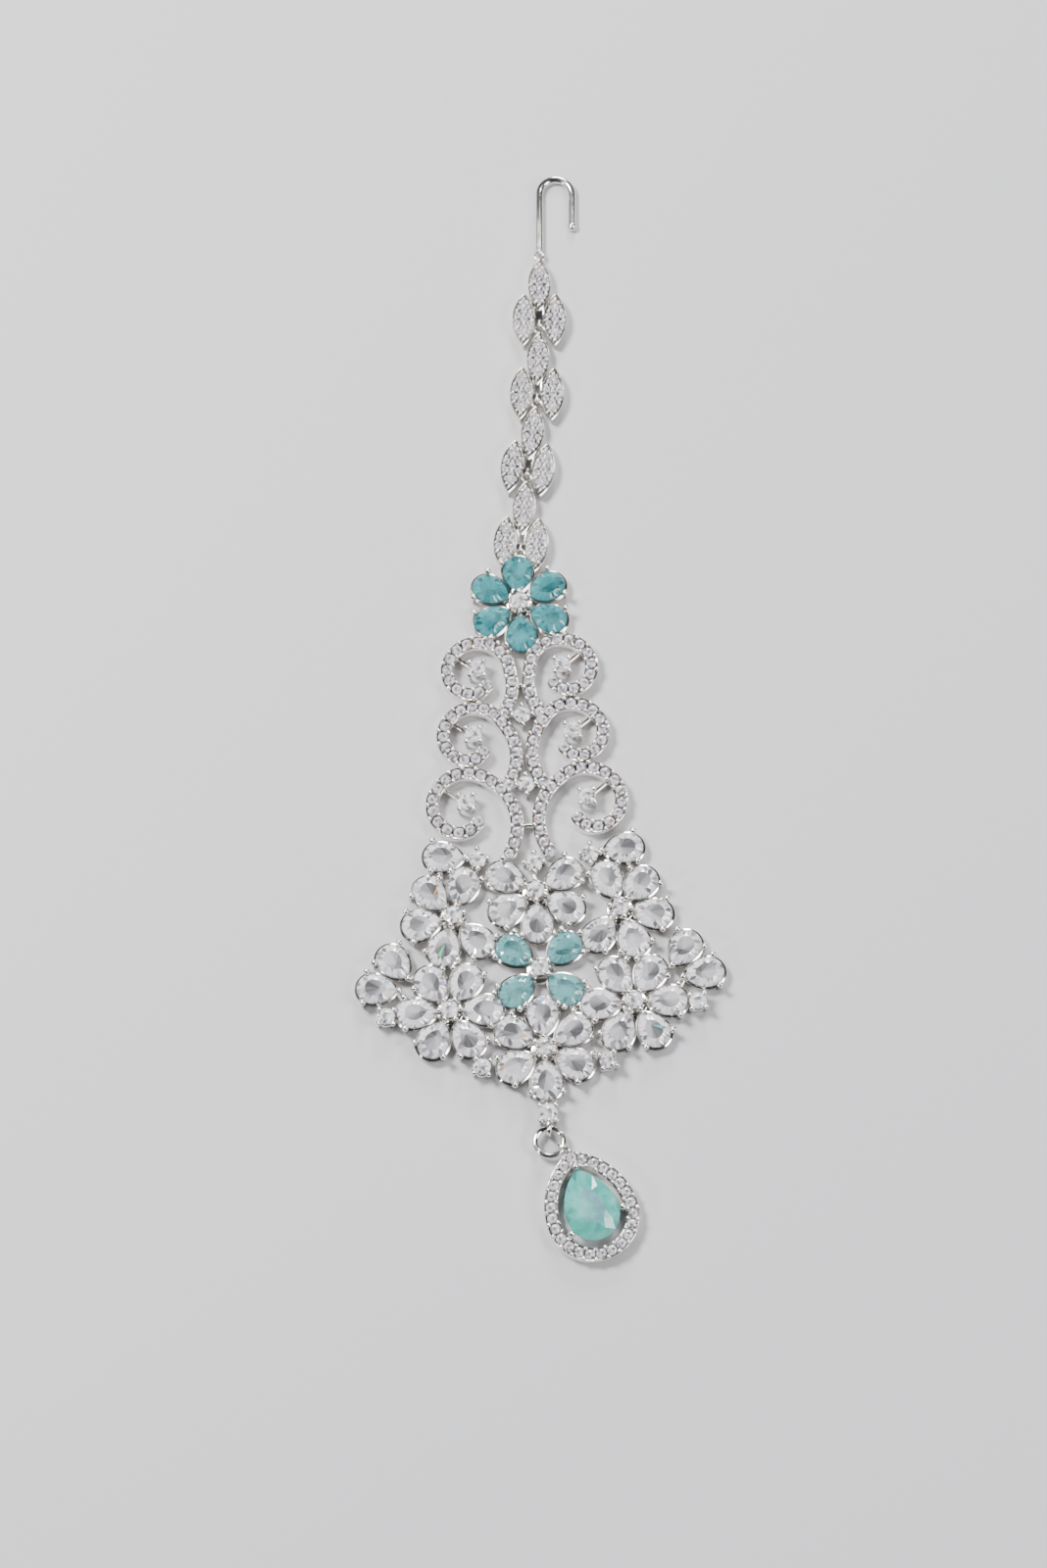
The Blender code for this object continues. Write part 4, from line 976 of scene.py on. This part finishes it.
class TIKKA_OT_scrolls(bpy.types.Operator):
    """Make the scroll panel: channels, pave, grains, round stones with their prongs and ties."""
    bl_idname = "tikka.scrolls"
    bl_label = "Scroll Panel"

    def execute(self, context):
        beds, stones, grains, rounds = [], [], [], []
        section = channel(CHANNEL_HALF, CHANNEL_HEIGHT, CHANNEL_DEPTH)
        for row in CURLS:
            for side in (-1, 1):
                line = curl_path(row, side)
                length = np.linalg.norm(np.diff(line, axis=0), axis=1).sum()
                beds.append(sweep(line, section, CURL_SECTIONS, nose=CURL_NOSE))
                row_stones, row_grains = pave_row(line, round(length / PAVE_PITCH) + 1, False)
                stones += row_stones
                grains += row_grains
                x, y = PANEL_X + side * row[8], row[9]
                far = np.array((x, y)) + row[2] * aim(90 + side * (90 - CURL_STRUT_ANGLE))
                beds.append(strut((x, y), (x, y) + (far - (x, y)) * CURL_STRUT_SHARE))
                rounds.append((x, y, CURL_ROUND_TURN))
        rounds += [(PANEL_X, y, 0.0) for y in PANEL_ROUNDS_Y]
        for y in CROSS_BARS_Y:
            beds.append(strut((PANEL_X - CROSS_BAR_HALF, y), (PANEL_X + CROSS_BAR_HALF, y), CROSS_BAR_WIDTH))
        for x, y, turn in rounds:
            beds += seat(x, y, turn, ROUND_RADIUS, 0.0, PANEL_LIFT)
        beds.append(grains_at(grains, GRAIN_RADIUS))
        add_metal("scroll_metal", beds, "scroll_panel")
        form = spread(pave_cut(), stones, sizes=np.full(len(stones), PAVE_RADIUS))
        add_stones("scroll_pave", form, "pave", "scroll_panel", len(stones))
        form = round_stones([(x, y, PANEL_LIFT, ROUND_RADIUS, turn) for x, y, turn in rounds])
        add_stones("scroll_rounds", form, "clear", "scroll_panel", len(rounds))
        return {"FINISHED"}


class TIKKA_OT_chain(bpy.types.Operator):
    """Make the four leaf links, each with its pave, its loop and its eye."""
    bl_idname = "tikka.chain"
    bl_label = "Leaf Links"

    def execute(self, context):
        middles = np.array([(0.0, LEAF_RISE), (-LEAF_SPREAD / 2, 0.0), (LEAF_SPREAD / 2, 0.0)])
        for number, (origin, lean) in enumerate(link_places()[:-1], 1):
            places = turned(middles, -lean, origin)
            up = aim(90 - lean)
            metal = [spread(leaf_bed(), [(*p, 0.0) for p in places], [-lean] * len(places))]
            bridge = origin + up * (LEAF_RISE - LEAF_LENGTH / 2 + BRIDGE_BITE)
            metal.append(strut(origin, bridge, BRIDGE_WIDTH, BRIDGE_TOP))
            metal.append(foot_loop(origin, lean))
            metal.append(flat_eye(origin + up * (LEAF_RISE + LEAF_LENGTH / 2 + EYE_HOLE + EYE_WIRE / 2)))
            stones, sizes, grains = [], [], []
            for middle in middles:
                for x, y, radius in mirrored_rows(LEAF_STONES):
                    stones.append((*turned(middle + (x, y), -lean, origin), LEAF_HEIGHT - LEAF_STONE_SINK))
                    sizes.append(radius)
                for x, y in mirrored_rows(LEAF_GRAINS):
                    grains.append((*turned(middle + (x, y), -lean, origin), LEAF_HEIGHT))
            metal.append(grains_at(grains, LEAF_GRAIN))
            node = f"leaf_link_{number}"
            add_metal(f"{node}_metal", metal, node)
            add_stones(f"{node}_pave", spread(pave_cut(), stones, sizes=sizes), "pave", node, len(stones))
        return {"FINISHED"}


class TIKKA_OT_hook(bpy.types.Operator):
    """Make the round wire hook with its loop."""
    bl_idname = "tikka.hook"
    bl_label = "Hook"

    def execute(self, context):
        origin, lean = link_places()[-1]
        bend = np.array((HOOK_BEND, HOOK_SHANK)) + HOOK_BEND * aim(np.linspace(180, 0, HOOK_BEND_STEPS))
        line = np.vstack([[(0.0, -HOOK_START)], [(0.0, HOOK_SHANK * t) for t in SHANK_SHARES], bend,
                          [(2 * HOOK_BEND, HOOK_SHANK - HOOK_RETURN * t) for t in RETURN_SHARES]])
        flat = turned(line, -lean, origin)
        wire = tube(np.c_[flat, np.full(len(flat), HOOK_WIRE + HOOK_LIFT)], HOOK_WIRE, HOOK_SIDES)
        end = spread(lathe(HOOK_END, HOOK_END_SIDES), [(*flat[-1], 0.0)])
        add_metal("hook_wire", [wire, end, foot_loop(origin, lean)], "hook")
        return {"FINISHED"}


class TIKKA_OT_drop(bpy.types.Operator):
    """Make the drop: its jump ring, the pave halo with bail and prongs, and the milky stone."""
    bl_idname = "tikka.drop"
    bl_label = "Drop"

    def execute(self, context):
        ring_y = ring_top() - RING_RADIUS
        ring = wire_ring((0.0, ring_y, RING_HEIGHT), RING_RADIUS, RING_RADIUS, RING_WIRE, 0.0, True,
                         JUMP_RING_SEGMENTS)
        add_metal("jump_ring", [ring], "drop_ring")
        line = halo_line(0.0, HALO_SECTIONS)
        section = channel(CHANNEL_HALF, CHANNEL_HEIGHT, CHANNEL_DEPTH)
        stones, grains = pave_row(line, HALO_STONES, True)
        forms = [sweep(line, section, HALO_SECTIONS, True), grains_at(grains, GRAIN_RADIUS)]
        centre = np.array((DROP_X, DROP_Y))
        prong = ball_on_post(BALL_RADIUS + DROP_BALL_MORE, POST_RADIUS, DROP_POST_LOW,
                             DROP_GIRDLE + DROP_BALL_RISE)
        for turn in DROP_PRONGS:
            reach, rim = DROP_WIDTH / 2, HALO_RADIUS
            if turn == TIP_ANGLE:
                reach, rim = DROP_LENGTH - DROP_WIDTH / 2, HALO_TIP
            way = aim(DROP_TURN + turn)
            spot = centre + (reach + DROP_PRONG_OFFSET) * way
            forms.append(strut(spot - way * DROP_STRUT_BACK, centre + rim * way))
            forms.append(spread(prong, [(*spot, 0.0)]))
        tip = halo_line(CHANNEL_HALF, HALO_SECTIONS)[0]
        toward = math.degrees(math.atan2(tip[1] - ring_y, tip[0]))
        shift = BAIL_LENGTH - BAIL_WIRE - RING_WIRE - DROP_WIRE_GAP
        bail_at = np.array((0.0, ring_y)) + (RING_RADIUS + shift) * aim(toward)
        forms.append(wire_ring((*bail_at, RING_HEIGHT), BAIL_LENGTH, BAIL_RADIUS, BAIL_WIRE, toward, False))
        add_metal("halo_metal", forms, "halo")
        form = spread(pave_cut(), stones, sizes=np.full(len(stones), PAVE_RADIUS))
        add_stones("halo_pave", form, "pave", "halo", len(stones))
        rim = pear_line(DROP_LENGTH - DROP_WIDTH / 2, DROP_WIDTH / 2, 0.0, DROP_RIM)
        cut = brilliant(rim, np.array((DROP_MIDDLE, 0.0)), DROP_TABLE, DROP_CROWN, DROP_PAVILION, DROP_FAN)
        stone = spread(cut, [(*centre, DROP_GIRDLE)], [DROP_TURN])
        name = "drop_stone_cut"
        # Painted reflection and facet light on the drop, lifted toward its body colour, with a painted
        # grey-lavender sheen on its table slices
        tones = painted_facet_light(stone, SEED + SEED_STEPS[name], 1, *DROP_TABLE_TONES, fire=0.0)
        tones[:, :3] = DROP_LIFT + (1 - DROP_LIFT) * tones[:, :3]
        tones[:len(rim) // 2, :3] *= DROP_SHEEN
        add_piece(name, stone, stone_finish("drop"), ["drop_stone"], tones, True)
        return {"FINISHED"}


class TIKKA_OT_stage(bpy.types.Operator):
    """Lay the pale floor, hang the soft lights and set the camera."""
    bl_idname = "tikka.stage"
    bl_label = "Stage"

    def execute(self, context):
        looks = context.scene.tikka_stage
        mesh = bpy.data.meshes.new("floor")
        corners = [(-FLOOR_HALF, -FLOOR_HALF, 0), (FLOOR_HALF, -FLOOR_HALF, 0),
                   (FLOOR_HALF, FLOOR_HALF, 0), (-FLOOR_HALF, FLOOR_HALF, 0)]
        mesh.from_pydata(corners, [], [(0, 1, 2, 3)])
        floor = bpy.data.objects.new("floor", mesh)
        context.scene.collection.objects.link(floor)
        made, _, shader = new_finish("pale_floor")
        shader.inputs["Base Color"].default_value = (*looks.floor, 1)
        shader.inputs["Roughness"].default_value = FLOOR_ROUGHNESS
        mesh.materials.append(made)
        lamps = {name: (at, size, share * looks.key_power) for name, (at, size, share) in SOFT_LAMPS.items()}
        for name, (at, size, power) in (lamps | SPARKS).items():
            lamp = bpy.data.lights.new(name, "AREA")
            lamp.size = size
            lamp.energy = power
            holder = bpy.data.objects.new(name, lamp)
            toward = (Vector(LAMP_TARGET) - Vector(at)).to_track_quat("-Z", "Y")
            holder.matrix_world = Matrix.Translation(at) @ toward.to_matrix().to_4x4()
            context.scene.collection.objects.link(holder)
        world = bpy.data.worlds.new("studio")
        world.use_nodes = True
        sky = world.node_tree.nodes["Background"]
        sky.inputs["Color"].default_value = SKY_COLOUR
        sky.inputs["Strength"].default_value = looks.sky
        context.scene.world = world
        lens = bpy.data.cameras.new("camera")
        lens.lens = LENS
        lens.sensor_width = SENSOR
        lens.clip_start = CLIP_START
        camera = bpy.data.objects.new("camera", lens)
        back = Vector(CAMERA_BACK).normalized()
        right = Vector(CAMERA_RIGHT).normalized()
        turn = Matrix((right, back.cross(right), back)).transposed()
        camera.matrix_world = Matrix.Translation(CAMERA_AT) @ turn.to_4x4()
        context.scene.collection.objects.link(camera)
        context.scene.camera = camera
        return {"FINISHED"}


OPERATORS = (TIKKA_OT_pears, TIKKA_OT_fan, TIKKA_OT_top_flower, TIKKA_OT_scrolls, TIKKA_OT_chain,
             TIKKA_OT_hook, TIKKA_OT_drop, TIKKA_OT_stage)
GROUPS = {"tikka_stones": StoneLooks, "tikka_metal": MetalLooks, "tikka_stage": StageLooks}


class TIKKA_PT_panel(bpy.types.Panel):
    """Sidebar panel with the looks and the pieces."""
    bl_label = "Maang Tikka"
    bl_idname = "TIKKA_PT_panel"
    bl_space_type = "VIEW_3D"
    bl_region_type = "UI"
    bl_category = "Tikka"

    def draw(self, context):
        for name in GROUPS:
            box = self.layout.box()
            looks = getattr(context.scene, name)
            for prop in looks.bl_rna.properties:
                if not prop.is_readonly and prop.identifier != "name":
                    box.prop(looks, prop.identifier)
        for operator in OPERATORS:
            self.layout.operator(operator.bl_idname)


def register():
    for group in GROUPS.values():
        bpy.utils.register_class(group)
    for name, group in GROUPS.items():
        setattr(bpy.types.Scene, name, bpy.props.PointerProperty(type=group))
    for item in (*OPERATORS, TIKKA_PT_panel):
        bpy.utils.register_class(item)


def unregister():
    for item in (TIKKA_PT_panel, *reversed(OPERATORS)):
        bpy.utils.unregister_class(item)
    for name in GROUPS:
        delattr(bpy.types.Scene, name)
    for group in reversed(GROUPS.values()):
        bpy.utils.unregister_class(group)


def main():
    register()
    bpy.ops.tikka.pears()
    bpy.ops.tikka.fan()
    bpy.ops.tikka.top_flower()
    bpy.ops.tikka.scrolls()
    bpy.ops.tikka.chain()
    bpy.ops.tikka.hook()
    bpy.ops.tikka.drop()
    bpy.ops.tikka.stage()


if __name__ == "__main__":
    main()
